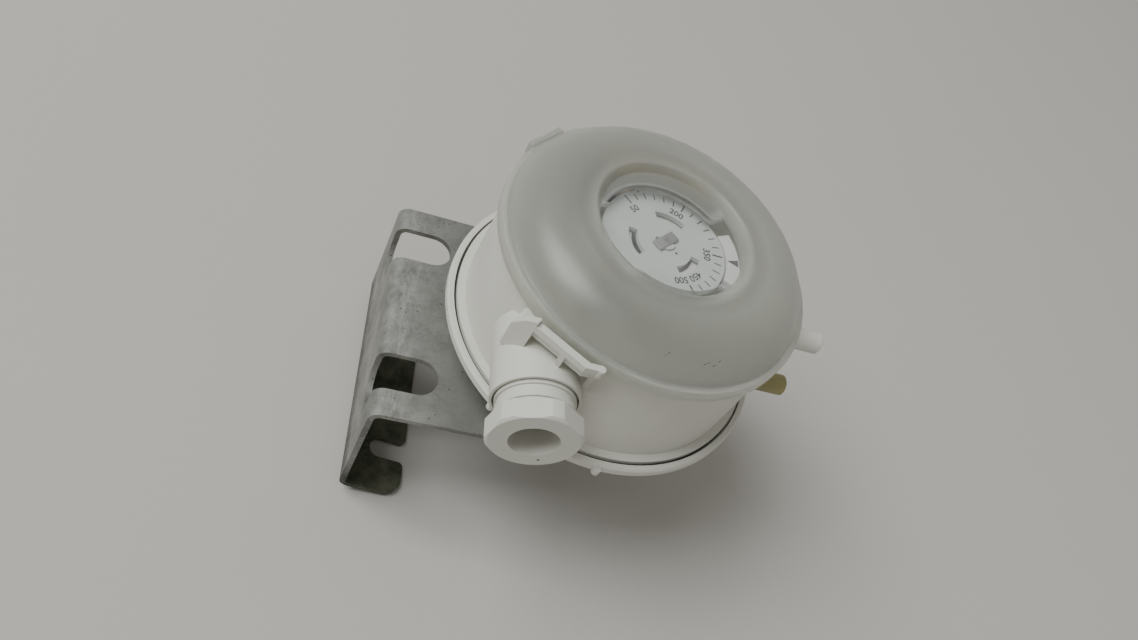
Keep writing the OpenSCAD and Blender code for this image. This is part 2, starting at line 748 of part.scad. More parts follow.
module spindle() {
    head = z_dial + dial_t + 0.5;
    color("slategray")
    difference() {
        union() {
            translate([0, 0, spindle_low]) cylinder(h = head - spindle_low, d = spindle_d);
            // Collar that keeps the spindle from lifting
            translate([0, 0, z_bridge - 0.1 - spindle_collar_h])
                cylinder(h = spindle_collar_h, d = spindle_d + 3);
        }
        translate([-spindle_d, -0.5, head - 1]) cube([2 * spindle_d, 1, 2]);
    }
}

module dial() {
    color("white")
    difference() {
        translate([0, 0, z_dial]) cylinder(h = dial_t, d = dial_d);
        translate([0, 0, z_dial - 1]) cylinder(h = dial_t + 2, d = spindle_d);
        for (a = [[168.5, 220.5], [-69.5, -17.5], [51, 103]])
            ring_sector(arc_r + arc_w / 2, arc_r - arc_w / 2, z_dial - 1, z_dial + dial_t + 1, a[0], a[1]);
    }
}

module switch_case() {
    color("darkslategray")
    difference() {
        translate([-switch_l / 2, switch_y, z_switch]) cube([switch_l, switch_w, switch_h]);
        for (s = [-1, 1])
            bar_y(switch_screw_d / 2, switch_y - 1, switch_y + switch_w + 1, s * switch_hole_x,
                switch_hole_z + s * switch_screw_rise);
        // Guide of the button
        translate([0, switch_y + switch_w / 2, z_switch - 1])
            cylinder(h = 1 + button_h + travel + 0.4, r = button_d / 2 + shaft_fit);
    }
}

module switch_button() {
    color("firebrick")
    translate([0, switch_y + switch_w / 2, z_spring])
    cylinder(h = 2 * button_h, d = button_d);
}

module switch_screws() {
    color("lightsteelblue")
    for (s = [-1, 1])
        translate([s * switch_hole_x, switch_y + switch_w, switch_hole_z + s * switch_screw_rise])
        rotate([90, 0, 0])
        pan_screw(switch_screw_d, switch_w + bridge_t, switch_screw_d * 1.8, 1.4);
}

module blades() {
    color("silver")
    for (i = [-1:1])
        translate([i * blade_pitch - blade_w / 2, switch_y + switch_w / 2 - blade_t / 2, z_switch + switch_h])
        difference() {
            linear_extrude(blade_l)
                square([blade_w, blade_t]);
            translate([blade_w / 2, -1, blade_l - 2]) rotate([-90, 0, 0]) cylinder(h = 3, d = 1.4);
        }
}

module wire_clamps() {
    clamp_w = blade_w + 2.2;
    clamp_h = blade_l;
    color("khaki")
    for (i = [-1:1])
        translate([i * blade_pitch, switch_y + switch_w / 2, z_switch + switch_h + 0.6])
        difference() {
            translate([-clamp_w / 2, -clamp_d / 2, 0]) cube([clamp_w, clamp_d, clamp_h]);
            translate([-blade_w / 2, -blade_t / 2, -1]) cube([blade_w, blade_t, blade_l + 0.4]);
            // Opening for the wire and hole for the screw
            translate([0, 0, clamp_h - wire_hole_d]) bar_y(wire_hole_d / 2, -clamp_d, -blade_t);
            translate([0, -clamp_d / 4 - 0.2, clamp_h - wire_hole_d])
                cylinder(h = wire_hole_d + 1, d = clamp_screw_d);
        }
}

module clamp_screws() {
    color("lightsteelblue")
    for (i = [-1:1])
        translate([i * blade_pitch, switch_y + switch_w / 2 - clamp_d / 4 - 0.2,
            z_switch + switch_h + 0.6 + blade_l - clamp_screw_d])
        difference() {
            cylinder(h = clamp_screw_d + 0.2, d = clamp_screw_d);
            translate([-clamp_screw_d, -0.2, clamp_screw_d - 0.3]) cube([2 * clamp_screw_d, 0.4, 1]);
        }
}

module gland_screw() {
    turned_r = nut_corner_d / 2;
    color("white")
    translate([-entry_x, 0, entry_z])
    rotate([90, 0, 0])
    difference() {
        union() {
            // Threaded shank and the stepped neck
            translate([0, 0, boss_reach - shank_l]) cylinder(h = shank_l + e, r = shank_r);
            translate([0, 0, boss_reach - 1.2]) cylinder(h = 1.9, r = neck_r);
            translate([0, 0, boss_reach + 0.7 - e]) cylinder(h = 1.5, r = neck_r - 0.5);
            translate([0, 0, boss_reach + 2.2 - 2 * e]) cylinder(h = 1.5, r = neck_r - 0.1);
            translate([0, 0, boss_reach + 3.7 - 3 * e]) cylinder(h = neck_h - 3.7 + 4 * e, r = neck_r - 0.6);
            // Hexagon with its corners turned off
            translate([0, 0, nut_y])
            intersection() {
                rotate([0, 0, nut_turn]) cylinder(h = nut_h, r = nut_af / 2 / cos(30), $fn = 6);
                union() {
                    cylinder(h = nut_h - 0.5, r = turned_r);
                    translate([0, 0, nut_h - 0.5]) cylinder(h = 0.5, r1 = turned_r, r2 = turned_r - 0.7);
                }
            }
        }
        translate([0, 0, boss_reach - shank_l - 1])
            cylinder(h = shank_l + neck_h + nut_h + 2, d = cable_hole_d);
    }
}

module gland_washer() {
    y0 = boss_reach - shank_l - 0.3;
    color("silver")
    translate([-entry_x, 0, entry_z]) rotate([90, 0, 0])
    ring(shank_r - 0.2, cable_hole_d / 2 - 0.6, y0 - washer_t, y0);
}

module gland_seal() {
    y1 = boss_reach - shank_l - 0.3 - washer_t - 0.1;
    y0 = boss_reach - thread_depth + 0.1;
    color("dimgray")
    translate([-entry_x, 0, entry_z]) rotate([90, 0, 0])
    ring(shank_r - 0.3, cable_hole_d / 2 - 1.4, y0, y1);
}

module cover_seal() {
    color("gray")
    ring(drum_top_r - 0.2, inner_r + 0.4, z_drum, z_drum + seal_t);
}

module cover() {
    r = cover_d / 2;
    t = cover_t;
    z_crest = z_top - shoulder_r;
    z_seam = z_rim + 0.2;
    // Angle at which the shoulder's arc starts above the skirt
    a0 = asin((z_seam - z_crest) / shoulder_r);
    crest = r - shoulder_r * cos(a0);
    z_ledge = z_drum + seal_t + 0.1;
    z_window = z_top - recess_depth;
    outer = arc(shoulder_r, a0, 90, 14, [crest, z_crest]);
    inner = arc(shoulder_r - t, 90, a0, 14, [crest, z_crest]);
    color("lightsteelblue", 0.5)
    union() {
        rotate_extrude()
        polygon(concat(
            [[0, z_window - t], [0, z_window], [window_d / 2, z_window], [recess_d / 2, z_top - 0.3],
             [recess_d / 2 + 0.4, z_top]],
            [for (i = [0:14]) outer[14 - i]],
            [[r + 0.2, z_rim], [skirt_r - edge, z_rim], [skirt_r, z_rim - edge], [skirt_r, z_skirt],
             [skirt_in, z_skirt], [skirt_in, z_ledge], [r - t, z_ledge]],
            [for (i = [0:14]) inner[14 - i]],
            [[recess_d / 2 + 1, z_top - t], [window_d / 2 + 0.8, z_window - t]]
        ));
        // Catch on the outside of the skirt
        rotate([0, 0, tab_az])
        translate([skirt_r - 0.8, -tab_w / 2, z_skirt]) cube([tab_out + 0.8, tab_w, skirt_h + 0.2]);
    }
}

on_foot() bracket();
on_foot() bracket_screws();
on_foot() lower_housing();
on_foot() lower_spigot();
on_foot() membrane();
on_foot() membrane_disc();
on_foot() plunger();
on_foot() upper_housing();
on_foot() range_spring();
on_foot() spring_seat();
on_foot() bridge();
on_foot() bridge_screws();
on_foot() spindle();
on_foot() dial();
on_foot() switch_case();
on_foot() switch_button();
on_foot() switch_screws();
on_foot() blades();
on_foot() wire_clamps();
on_foot() clamp_screws();
on_foot() gland_screw();
on_foot() gland_seal();
on_foot() gland_washer();
on_foot() cover_seal();
on_foot() cover();
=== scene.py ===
"""Looks of a differential pressure switch for air on its folded bracket.

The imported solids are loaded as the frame. The classes below dress them, and model what a
rigid solid can't show: the frosted cover, the printed dial, softened edges and small marks.
All lengths in the classes are millimetres in the frame of the dial's axis, unless said.
"""

import logging
import math
from dataclasses import dataclass, field
from enum import Enum
from typing import ClassVar, Dict, List, Sequence, Tuple, Union

import bpy
from mathutils import Matrix, Vector


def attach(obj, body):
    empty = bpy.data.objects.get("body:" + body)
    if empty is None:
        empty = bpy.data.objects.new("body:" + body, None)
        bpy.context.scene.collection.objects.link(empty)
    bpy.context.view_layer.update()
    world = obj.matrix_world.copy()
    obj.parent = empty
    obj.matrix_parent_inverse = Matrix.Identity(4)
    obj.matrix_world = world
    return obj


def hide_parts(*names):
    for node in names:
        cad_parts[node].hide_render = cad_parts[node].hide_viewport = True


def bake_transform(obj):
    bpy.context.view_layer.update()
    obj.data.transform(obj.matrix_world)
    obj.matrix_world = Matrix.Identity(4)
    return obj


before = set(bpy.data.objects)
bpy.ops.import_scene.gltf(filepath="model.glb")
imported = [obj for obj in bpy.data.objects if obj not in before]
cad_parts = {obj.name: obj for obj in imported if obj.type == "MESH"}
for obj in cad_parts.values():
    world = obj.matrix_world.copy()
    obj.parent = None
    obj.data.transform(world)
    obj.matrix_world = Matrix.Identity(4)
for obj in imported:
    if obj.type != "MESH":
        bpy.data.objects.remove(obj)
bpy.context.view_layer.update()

logging.basicConfig(level=logging.INFO, format="%(message)s")
LOG = logging.getLogger("pressure_switch")

MM = 0.001
AXIS_X = 46.8149
BACK_Z = 39.5265

Pair = Tuple[float, float]
Point = Tuple[float, float, float]
Colour = Tuple[float, float, float]
Socket = bpy.types.NodeSocket
Value = Union[float, Colour, Socket]


def place(x: float, y: float, z: float) -> Vector:
    """Turns a point in the frame of the dial's axis into the row frame.

    Args:
        x: millimetres from the dial's axis, towards the hose spigots.
        y: millimetres along the bracket's folds.
        z: millimetres above the back of the housing.

    Returns:
        The point in metres in the row frame.
    """
    return Vector(((x + AXIS_X) * MM, y * MM, (z + BACK_Z) * MM))


def scaled(colour: Colour, factor: float) -> Colour:
    """Makes a colour darker or lighter by a factor."""
    return tuple(part * factor for part in colour)


def axes_matrix(columns: Sequence[Sequence[float]], origin: Vector) -> Matrix:
    """Makes the matrix of an object from its three axes and its origin.

    Args:
        columns: direction and length of the object's X, Y and Z axes.
        origin: its place in metres.

    Returns:
        The matrix.
    """
    rows = [[column[i] for column in columns] + [origin[i]] for i in range(3)]
    return Matrix(rows + [[0.0, 0.0, 0.0, 1.0]])


class Body(Enum):
    """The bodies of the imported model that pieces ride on."""

    SWITCH = "switch_body"
    COVER = "cover_body"
    DIAL = "dial_body"
    GLAND = "gland_body"
    SEAT = "seat_body"


class Slot(Enum):
    """Material slots of the record that new pieces are listed with."""

    HOUSING = "housing_white"
    COVER = "cover_clear"
    DIAL = "dial_print"
    BRACKET = "bracket"
    BRIDGE = "natural_plastic"
    SPRING = "spring_steel"


# ---------------------------------------------------------------- modelling by operators


class Bench:
    """Modelling operators, used as by hand on one piece at a time."""

    SEED = 0.0002
    LATHE_WELD = 0.000004
    COPY_WELD = 0.000002
    FLAT_ANGLE = 0.5
    SHARP_ANGLE = 40.0
    NORMAL_WEIGHT = 60

    @staticmethod
    def clear() -> None:
        """Leaves edit mode and deselects every object."""
        if bpy.context.object and bpy.context.object.mode != "OBJECT":
            bpy.ops.object.mode_set(mode="OBJECT")
        bpy.ops.object.select_all(action="DESELECT")

    @classmethod
    def pick(cls, piece: bpy.types.Object) -> None:
        """Makes one piece the only selected and the active one.

        Args:
            piece: the piece.
        """
        cls.clear()
        piece.select_set(True)
        bpy.context.view_layer.objects.active = piece

    @staticmethod
    def active(name: str) -> bpy.types.Object:
        """Names the object that has just been added.

        Args:
            name: the name of the new piece.

        Returns:
            The object.
        """
        piece = bpy.context.object
        piece.name = name
        piece.data.name = name
        return piece

    @classmethod
    def settle(cls, piece: bpy.types.Object) -> bpy.types.Object:
        """Puts a piece's place, turn and scale into its mesh.

        Args:
            piece: the piece to settle.

        Returns:
            The same piece, with its object at the origin.
        """
        cls.pick(piece)
        bpy.ops.object.transform_apply(location=True, rotation=True, scale=True)
        return piece

    @classmethod
    def modifier(cls, piece: bpy.types.Object, kind: str, **values: object) -> None:
        """Adds a modifier and applies it.

        Args:
            piece: the piece to change.
            kind: the modifier's type.
            values: settings of the modifier.
        """
        cls.pick(piece)
        bpy.ops.object.modifier_add(type=kind)
        added = piece.modifiers[-1]
        for key, value in values.items():
            setattr(added, key, value)
        bpy.ops.object.modifier_apply(modifier=added.name)

    @classmethod
    def smooth(cls, piece: bpy.types.Object, angle: float = SHARP_ANGLE) -> None:
        """Shades a piece smooth, apart from edges sharper than an angle.

        Args:
            piece: the piece to shade.
            angle: degrees between faces above which an edge stays sharp.
        """
        cls.pick(piece)
        bpy.ops.object.shade_smooth_by_angle(angle=math.radians(angle))

    @classmethod
    def lathe(cls, name: str, profile: Sequence[Pair], steps: int) -> bpy.types.Object:
        """Draws an open profile beside the dial's axis and spins it a full turn.

        Args:
            name: the name of the piece.
            profile: radius and height of each point, from the axis round and back to it.
            steps: the number of steps in the full turn.

        Returns:
            The piece.
        """
        cls.clear()
        first_r, first_z = profile[0]
        bpy.ops.mesh.primitive_plane_add(size=cls.SEED, location=place(first_r, 0.0, first_z))
        piece = cls.active(name)
        bpy.ops.object.mode_set(mode="EDIT")
        bpy.ops.mesh.select_all(action="SELECT")
        bpy.ops.mesh.merge(type="CENTER")
        bpy.ops.mesh.select_mode(type="VERT")
        for (r_a, z_a), (r_b, z_b) in zip(profile, profile[1:]):
            move = ((r_b - r_a) * MM, 0.0, (z_b - z_a) * MM)
            bpy.ops.mesh.extrude_region_move(TRANSFORM_OT_translate={"value": move})
        bpy.ops.mesh.select_all(action="SELECT")
        bpy.ops.mesh.spin(steps=steps, angle=2.0 * math.pi, center=place(0.0, 0.0, first_z),
                          axis=(0.0, 0.0, 1.0))
        bpy.ops.mesh.select_all(action="SELECT")
        bpy.ops.mesh.remove_doubles(threshold=cls.LATHE_WELD)
        bpy.ops.mesh.select_all(action="SELECT")
        bpy.ops.mesh.normals_make_consistent(inside=False)
        return cls.settle(piece)

    @classmethod
    def block(cls, name: str, low: Point, high: Point, soften: float = 0.0) -> bpy.types.Object:
        """Makes a block between two corners, with its edges softened.

        Args:
            name: the name of the piece.
            low: lowest corner in the frame of the dial's axis.
            high: highest corner.
            soften: width of the softened edges.

        Returns:
            The piece.
        """
        cls.clear()
        centre = place(*[(a + b) / 2.0 for a, b in zip(low, high)])
        bpy.ops.mesh.primitive_cube_add(size=1.0, location=centre)
        piece = cls.active(name)
        piece.scale = [(b - a) * MM for a, b in zip(low, high)]
        cls.settle(piece)
        if soften > 0.0:
            cls.modifier(piece, "BEVEL", width=soften * MM, segments=3)
        return piece

    @classmethod
    def disc(cls, name: str, radius: float, height: float, centre: Point,
             sides: int) -> bpy.types.Object:
        """Makes a flat disc.

        Args:
            name: the name of the piece.
            radius: radius of the disc.
            height: its thickness.
            centre: its middle in the frame of the dial's axis.
            sides: the number of its sides.

        Returns:
            The piece.
        """
        cls.clear()
        bpy.ops.mesh.primitive_cylinder_add(vertices=sides, radius=radius * MM,
                                            depth=height * MM, location=place(*centre))
        return cls.settle(cls.active(name))

    @classmethod
    def turn(cls, piece: bpy.types.Object, azimuth: float) -> None:
        """Turns a piece round the dial's axis, in its mesh.

        Args:
            piece: the piece to turn.
            azimuth: degrees from +X towards +Y.
        """
        pivot = place(0.0, 0.0, 0.0)
        turned = Matrix.Translation(pivot) @ Matrix.Rotation(math.radians(azimuth), 4, "Z")
        piece.matrix_world = turned @ Matrix.Translation(-pivot) @ piece.matrix_world
        cls.settle(piece)

    @classmethod
    def join(cls, name: str, pieces: Sequence[bpy.types.Object]) -> bpy.types.Object:
        """Joins several pieces into one.

        Args:
            name: the name of the joined piece.
            pieces: the pieces to join.

        Returns:
            The joined piece.
        """
        cls.pick(pieces[0])
        for piece in pieces:
            piece.select_set(True)
        bpy.ops.object.join()
        return cls.active(name)

    @staticmethod
    def copy(name: str, source: bpy.types.Object) -> bpy.types.Object:
        """Copies an object with a mesh of its own.

        Args:
            name: the name of the copy.
            source: the object to copy.

        Returns:
            The copy.
        """
        piece = bpy.data.objects.new(name, source.data.copy())
        bpy.context.scene.collection.objects.link(piece)
        piece.data.name = name
        return piece

    @classmethod
    def softened_copy(cls, name: str, node: str, width: float,
                      angle: float = 32.0) -> bpy.types.Object:
        """Copies a node's mesh and softens its sharp edges.

        Args:
            name: the name of the new piece.
            node: the node whose mesh is copied.
            width: width of the softened edges.
            angle: degrees between faces above which an edge is softened.

        Returns:
            The softened piece.
        """
        piece = cls.copy(name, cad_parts[node])
        piece.data.materials.clear()
        cls.pick(piece)
        bpy.ops.object.mode_set(mode="EDIT")
        bpy.ops.mesh.select_all(action="SELECT")
        bpy.ops.mesh.customdata_custom_splitnormals_clear()
        bpy.ops.mesh.remove_doubles(threshold=cls.COPY_WELD)
        bpy.ops.mesh.select_all(action="SELECT")
        bpy.ops.mesh.dissolve_limited(angle_limit=math.radians(cls.FLAT_ANGLE))
        bpy.ops.object.mode_set(mode="OBJECT")
        cls.modifier(piece, "BEVEL", width=width * MM, segments=2, limit_method="ANGLE",
                     angle_limit=math.radians(angle), use_clamp_overlap=True,
                     harden_normals=False, miter_outer="MITER_ARC")
        cls.smooth(piece)
        cls.modifier(piece, "WEIGHTED_NORMAL", mode="FACE_AREA_WITH_ANGLE",
                     weight=cls.NORMAL_WEIGHT, keep_sharp=True)
        return piece


# ---------------------------------------------------------------- finishes


def add_node(tree: bpy.types.NodeTree, kind: str, **values: object) -> bpy.types.Node:
    """Adds a node to a tree.

    Args:
        tree: the node tree.
        kind: the node's type.
        values: properties of the node, or values of its inputs where the key starts with in_,
            by the input's number or by its name with spaces written as underscores.

    Returns:
        The node.
    """
    node = tree.nodes.new(kind)
    for key, value in values.items():
        if key.startswith("in_"):
            name = key[3:].replace("_", " ")
            node.inputs[int(name) if name.isdigit() else name].default_value = value
        else:
            setattr(node, key, value)
    return node


class NodeNet:
    """A material's node tree, with short ways to add and join its nodes."""

    def __init__(self, name: str) -> None:
        """Makes a material with a plain surface shader.

        Args:
            name: the material's name.
        """
        self.material = bpy.data.materials.new(name)
        self.material.use_nodes = True
        self.tree = self.material.node_tree
        self.shader = self.tree.nodes["Principled BSDF"]
        self.place = add_node(self.tree, "ShaderNodeTexCoord").outputs["Object"]

    def link(self, start: Socket, end: Socket) -> None:
        """Joins an output to an input."""
        self.tree.links.new(start, end)

    def feed(self, end: Socket, value: Value) -> None:
        """Links a socket to an input, or sets a number or a colour on it.

        Args:
            end: the input.
            value: the socket, number or colour.
        """
        if isinstance(value, Socket):
            self.link(value, end)
        elif end.type == "RGBA":
            end.default_value = (*value[:3], 1.0)
        else:
            end.default_value = value

    def shade(self, **values: Value) -> None:
        """Feeds the surface shader.

        Args:
            values: what each of its inputs gets, with spaces written as underscores.
        """
        for key, value in values.items():
            self.feed(self.shader.inputs[key.replace("_", " ")], value)

    def noise(self, scale: float, detail: float = 4.0, rough: float = 0.5,
              stretch: Point = (1.0, 1.0, 1.0)) -> Socket:
        """Adds noise in the piece's own place.

        Args:
            scale: the number of features in a metre.
            detail: levels of finer noise.
            rough: strength of the finer levels.
            stretch: scale along each axis.

        Returns:
            The noise value.
        """
        mapping = add_node(self.tree, "ShaderNodeMapping", in_Scale=stretch)
        self.link(self.place, mapping.inputs["Vector"])
        node = add_node(self.tree, "ShaderNodeTexNoise", in_Scale=scale, in_Detail=detail,
                        in_Roughness=rough)
        self.link(mapping.outputs["Vector"], node.inputs["Vector"])
        return node.outputs["Fac"]

    def ramp(self, value: Socket, stops: Sequence[Tuple[float, Colour]]) -> Socket:
        """Maps a value to a colour by stops.

        Args:
            value: the value to map.
            stops: position and colour of each stop.

        Returns:
            The colour.
        """
        node = add_node(self.tree, "ShaderNodeValToRGB")
        ramp = node.color_ramp
        while len(ramp.elements) < len(stops):
            ramp.elements.new(0.5)
        for element, (at, colour) in zip(ramp.elements, stops):
            element.position = at
            element.color = (*colour, 1.0)
        self.link(value, node.inputs["Fac"])
        return node.outputs["Color"]

    def level(self, value: Socket, low: Pair, high: Pair) -> Socket:
        """Maps a value to a grey between two levels.

        Args:
            value: the value to map.
            low: the value at the first level, and that level.
            high: the value at the second level, and that level.

        Returns:
            The grey.
        """
        return self.ramp(value, [(at, (grey,) * 3) for at, grey in (low, high)])

    def span(self, value: Socket, start: float, end: float, top: float = 1.0) -> Socket:
        """Ramps a value smoothly from nothing at the start to the top at the end.

        Args:
            value: the value.
            start: where the result is nothing.
            end: where the result is the top.
            top: the highest result.

        Returns:
            The ramped value.
        """
        node = add_node(self.tree, "ShaderNodeMapRange", in_From_Min=start, in_From_Max=end,
                        in_To_Min=0.0, in_To_Max=top, interpolation_type="SMOOTHSTEP")
        self.link(value, node.inputs["Value"])
        return node.outputs["Result"]

    def mix(self, factor: Value, a: Value, b: Value) -> Socket:
        """Mixes two colours.

        Args:
            factor: the second colour's share.
            a: first colour.
            b: second colour.

        Returns:
            The mixed colour.
        """
        node = add_node(self.tree, "ShaderNodeMix", data_type="RGBA")
        for index, value in ((0, factor), (6, a), (7, b)):
            self.feed(node.inputs[index], value)
        return node.outputs[2]

    def math(self, kind: str, a: Value, b: Value = 0.0, clamp: bool = False) -> Socket:
        """Works out one value from two.

        Args:
            kind: the operation.
            a: first number or socket.
            b: second number or socket.
            clamp: keeps the result between 0 and 1.

        Returns:
            The result.
        """
        node = add_node(self.tree, "ShaderNodeMath", operation=kind, use_clamp=clamp)
        self.feed(node.inputs[0], a)
        self.feed(node.inputs[1], b)
        return node.outputs[0]

    def plus(self, a: Value, b: Value) -> Socket:
        """Adds two values."""
        return self.math("ADD", a, b)

    def minus(self, a: Value, b: Value) -> Socket:
        """Takes the second value from the first."""
        return self.math("SUBTRACT", a, b)

    def times(self, a: Value, b: Value) -> Socket:
        """Multiplies two values."""
        return self.math("MULTIPLY", a, b)

    def apart(self) -> Tuple[Socket, Socket, Socket]:
        """Gives the shaded point's X, Y and Z, in metres."""
        node = add_node(self.tree, "ShaderNodeSeparateXYZ")
        self.link(self.place, node.inputs["Vector"])
        return tuple(node.outputs)

    def polar(self, centre: Pair) -> Tuple[Socket, Socket, Socket]:
        """Gives the shaded point's distance and offsets from a centre, in metres.

        Args:
            centre: the centre in millimetres in the frame of the dial's axis.

        Returns:
            The distance and the offsets along X and Y.
        """
        x, y, _ = self.apart()
        middle = place(*centre, 0.0)
        dx, dy = self.minus(x, middle.x), self.minus(y, middle.y)
        return self.math("SQRT", self.plus(self.times(dx, dx), self.times(dy, dy))), dx, dy

    def bump(self, height: Socket, distance: float, strength: float) -> None:
        """Feeds a height to the shader's normal.

        Args:
            height: the height.
            distance: metres between the lowest and highest height.
            strength: how strongly it shows.
        """
        node = add_node(self.tree, "ShaderNodeBump", in_Distance=distance, in_Strength=strength)
        self.link(height, node.inputs["Height"])
        self.shade(Normal=node.outputs["Normal"])

    def effect(self, tree: bpy.types.NodeTree, **values: float) -> Socket:
        """Places a shared effect.

        Args:
            tree: the effect's node group.
            values: values of its inputs.

        Returns:
            The effect's mask.
        """
        node = add_node(self.tree, "ShaderNodeGroup", node_tree=tree)
        for key, value in values.items():
            node.inputs[key].default_value = value
        return node.outputs["Mask"]


class Effects:
    """Node groups that several finishes share, each built once."""

    built: ClassVar[Dict[str, bpy.types.NodeTree]] = {}

    @classmethod
    def group(cls, name: str, inputs: Sequence[str], nodes: Dict[str, Tuple[str, dict]],
              links: Sequence[Tuple[str, object, str, object]]) -> bpy.types.NodeTree:
        """Gives a node group, building it the first time.

        Args:
            name: the group's name.
            inputs: names of its inputs, all numbers.
            nodes: kind and settings of each node, by the name that the links use.
            links: first node, its output, second node and its input.

        Returns:
            The group, with one output, Mask.
        """
        if name in cls.built:
            return cls.built[name]
        tree = bpy.data.node_groups.new(name, "ShaderNodeTree")
        for key in inputs:
            tree.interface.new_socket(key, in_out="INPUT", socket_type="NodeSocketFloat")
        tree.interface.new_socket("Mask", in_out="OUTPUT", socket_type="NodeSocketFloat")
        made = {"start": add_node(tree, "NodeGroupInput"), "end": add_node(tree, "NodeGroupOutput"),
                "where": add_node(tree, "ShaderNodeTexCoord")}
        for key, (kind, values) in nodes.items():
            made[key] = add_node(tree, kind, **values)
        for first, output, second, entry in links:
            tree.links.new(made[first].outputs[output], made[second].inputs[entry])
        cls.built[name] = tree
        return tree

    @classmethod
    def specks(cls) -> bpy.types.NodeTree:
        """Small scattered specks of dirt.

        Returns:
            A group with inputs Size and Amount, and the output Mask.
        """
        return cls.group("specks", ("Size", "Amount"), {
            "cells": ("ShaderNodeTexVoronoi", {"feature": "F1", "in_Randomness": 1.0}),
            "chance": ("ShaderNodeSeparateColor", {}),
            "near": ("ShaderNodeMath", {"operation": "LESS_THAN", "in_1": 0.16}),
            "few": ("ShaderNodeMath", {"operation": "LESS_THAN"}),
            "both": ("ShaderNodeMath", {"operation": "MULTIPLY"}),
        }, [
            ("where", "Object", "cells", "Vector"), ("start", "Size", "cells", "Scale"),
            ("cells", "Distance", "near", 0), ("cells", "Color", "chance", "Color"),
            ("chance", "Red", "few", 0), ("start", "Amount", "few", 1),
            ("near", 0, "both", 0), ("few", 0, "both", 1), ("both", 0, "end", "Mask"),
        ])

    @classmethod
    def grime(cls) -> bpy.types.NodeTree:
        """Faint uneven dust that makes a colour patchy.

        Returns:
            A group with inputs Scale and Strength, and the output Mask.
        """
        return cls.group("grime", ("Scale", "Strength"), {
            "noise": ("ShaderNodeTexNoise", {"in_Detail": 6.0, "in_Roughness": 0.6}),
            "span": ("ShaderNodeMapRange", {"in_From_Min": 0.4, "in_From_Max": 0.75}),
            "scale": ("ShaderNodeMath", {"operation": "MULTIPLY"}),
        }, [
            ("where", "Object", "noise", "Vector"), ("start", "Scale", "noise", "Scale"),
            ("noise", "Fac", "span", "Value"), ("span", "Result", "scale", 0),
            ("start", "Strength", "scale", 1), ("scale", 0, "end", "Mask"),
        ])


@dataclass(frozen=True)
class Finish:
    """A finish of the switch, which makes one material."""

    name: str

    def build(self) -> bpy.types.Material:
        """Makes the material.

        Returns:
            The material.
        """
        net = NodeNet(self.name)
        self.weave(net)
        return net.material

    def weave(self, net: NodeNet) -> None:
        """Adds the finish's own nodes, which each finish does in its way."""
        raise NotImplementedError


@dataclass(frozen=True)
class MouldedPlastic(Finish):
    """Injection-moulded plastic with a faint grain and dust."""

    colour: Colour
    roughness: float = 0.42
    roughness_spread: float = 0.16
    dust: Colour = (0.42, 0.38, 0.29)
    dust_strength: float = 0.10
    dust_scale: float = 90.0
    speck_amount: float = 0.012
    speck_size: float = 420.0
    speck_shade: float = 0.35
    grain: float = 0.000012

    def weave(self, net: NodeNet) -> None:
        """Adds dust, specks and grain.

        Args:
            net: the material's node tree.
        """
        grime = net.effect(Effects.grime(), Scale=self.dust_scale, Strength=self.dust_strength)
        specks = net.effect(Effects.specks(), Size=self.speck_size, Amount=self.speck_amount)
        base = net.mix(grime, self.colour, self.dust)
        spread = net.times(net.noise(60.0, 3.0), self.roughness_spread)
        net.shade(Base_Color=net.mix(specks, base, scaled(self.dust, self.speck_shade)),
                  Roughness=net.plus(spread, self.roughness - self.roughness_spread / 2.0))
        net.bump(net.noise(2600.0, 2.0), self.grain, 0.35)


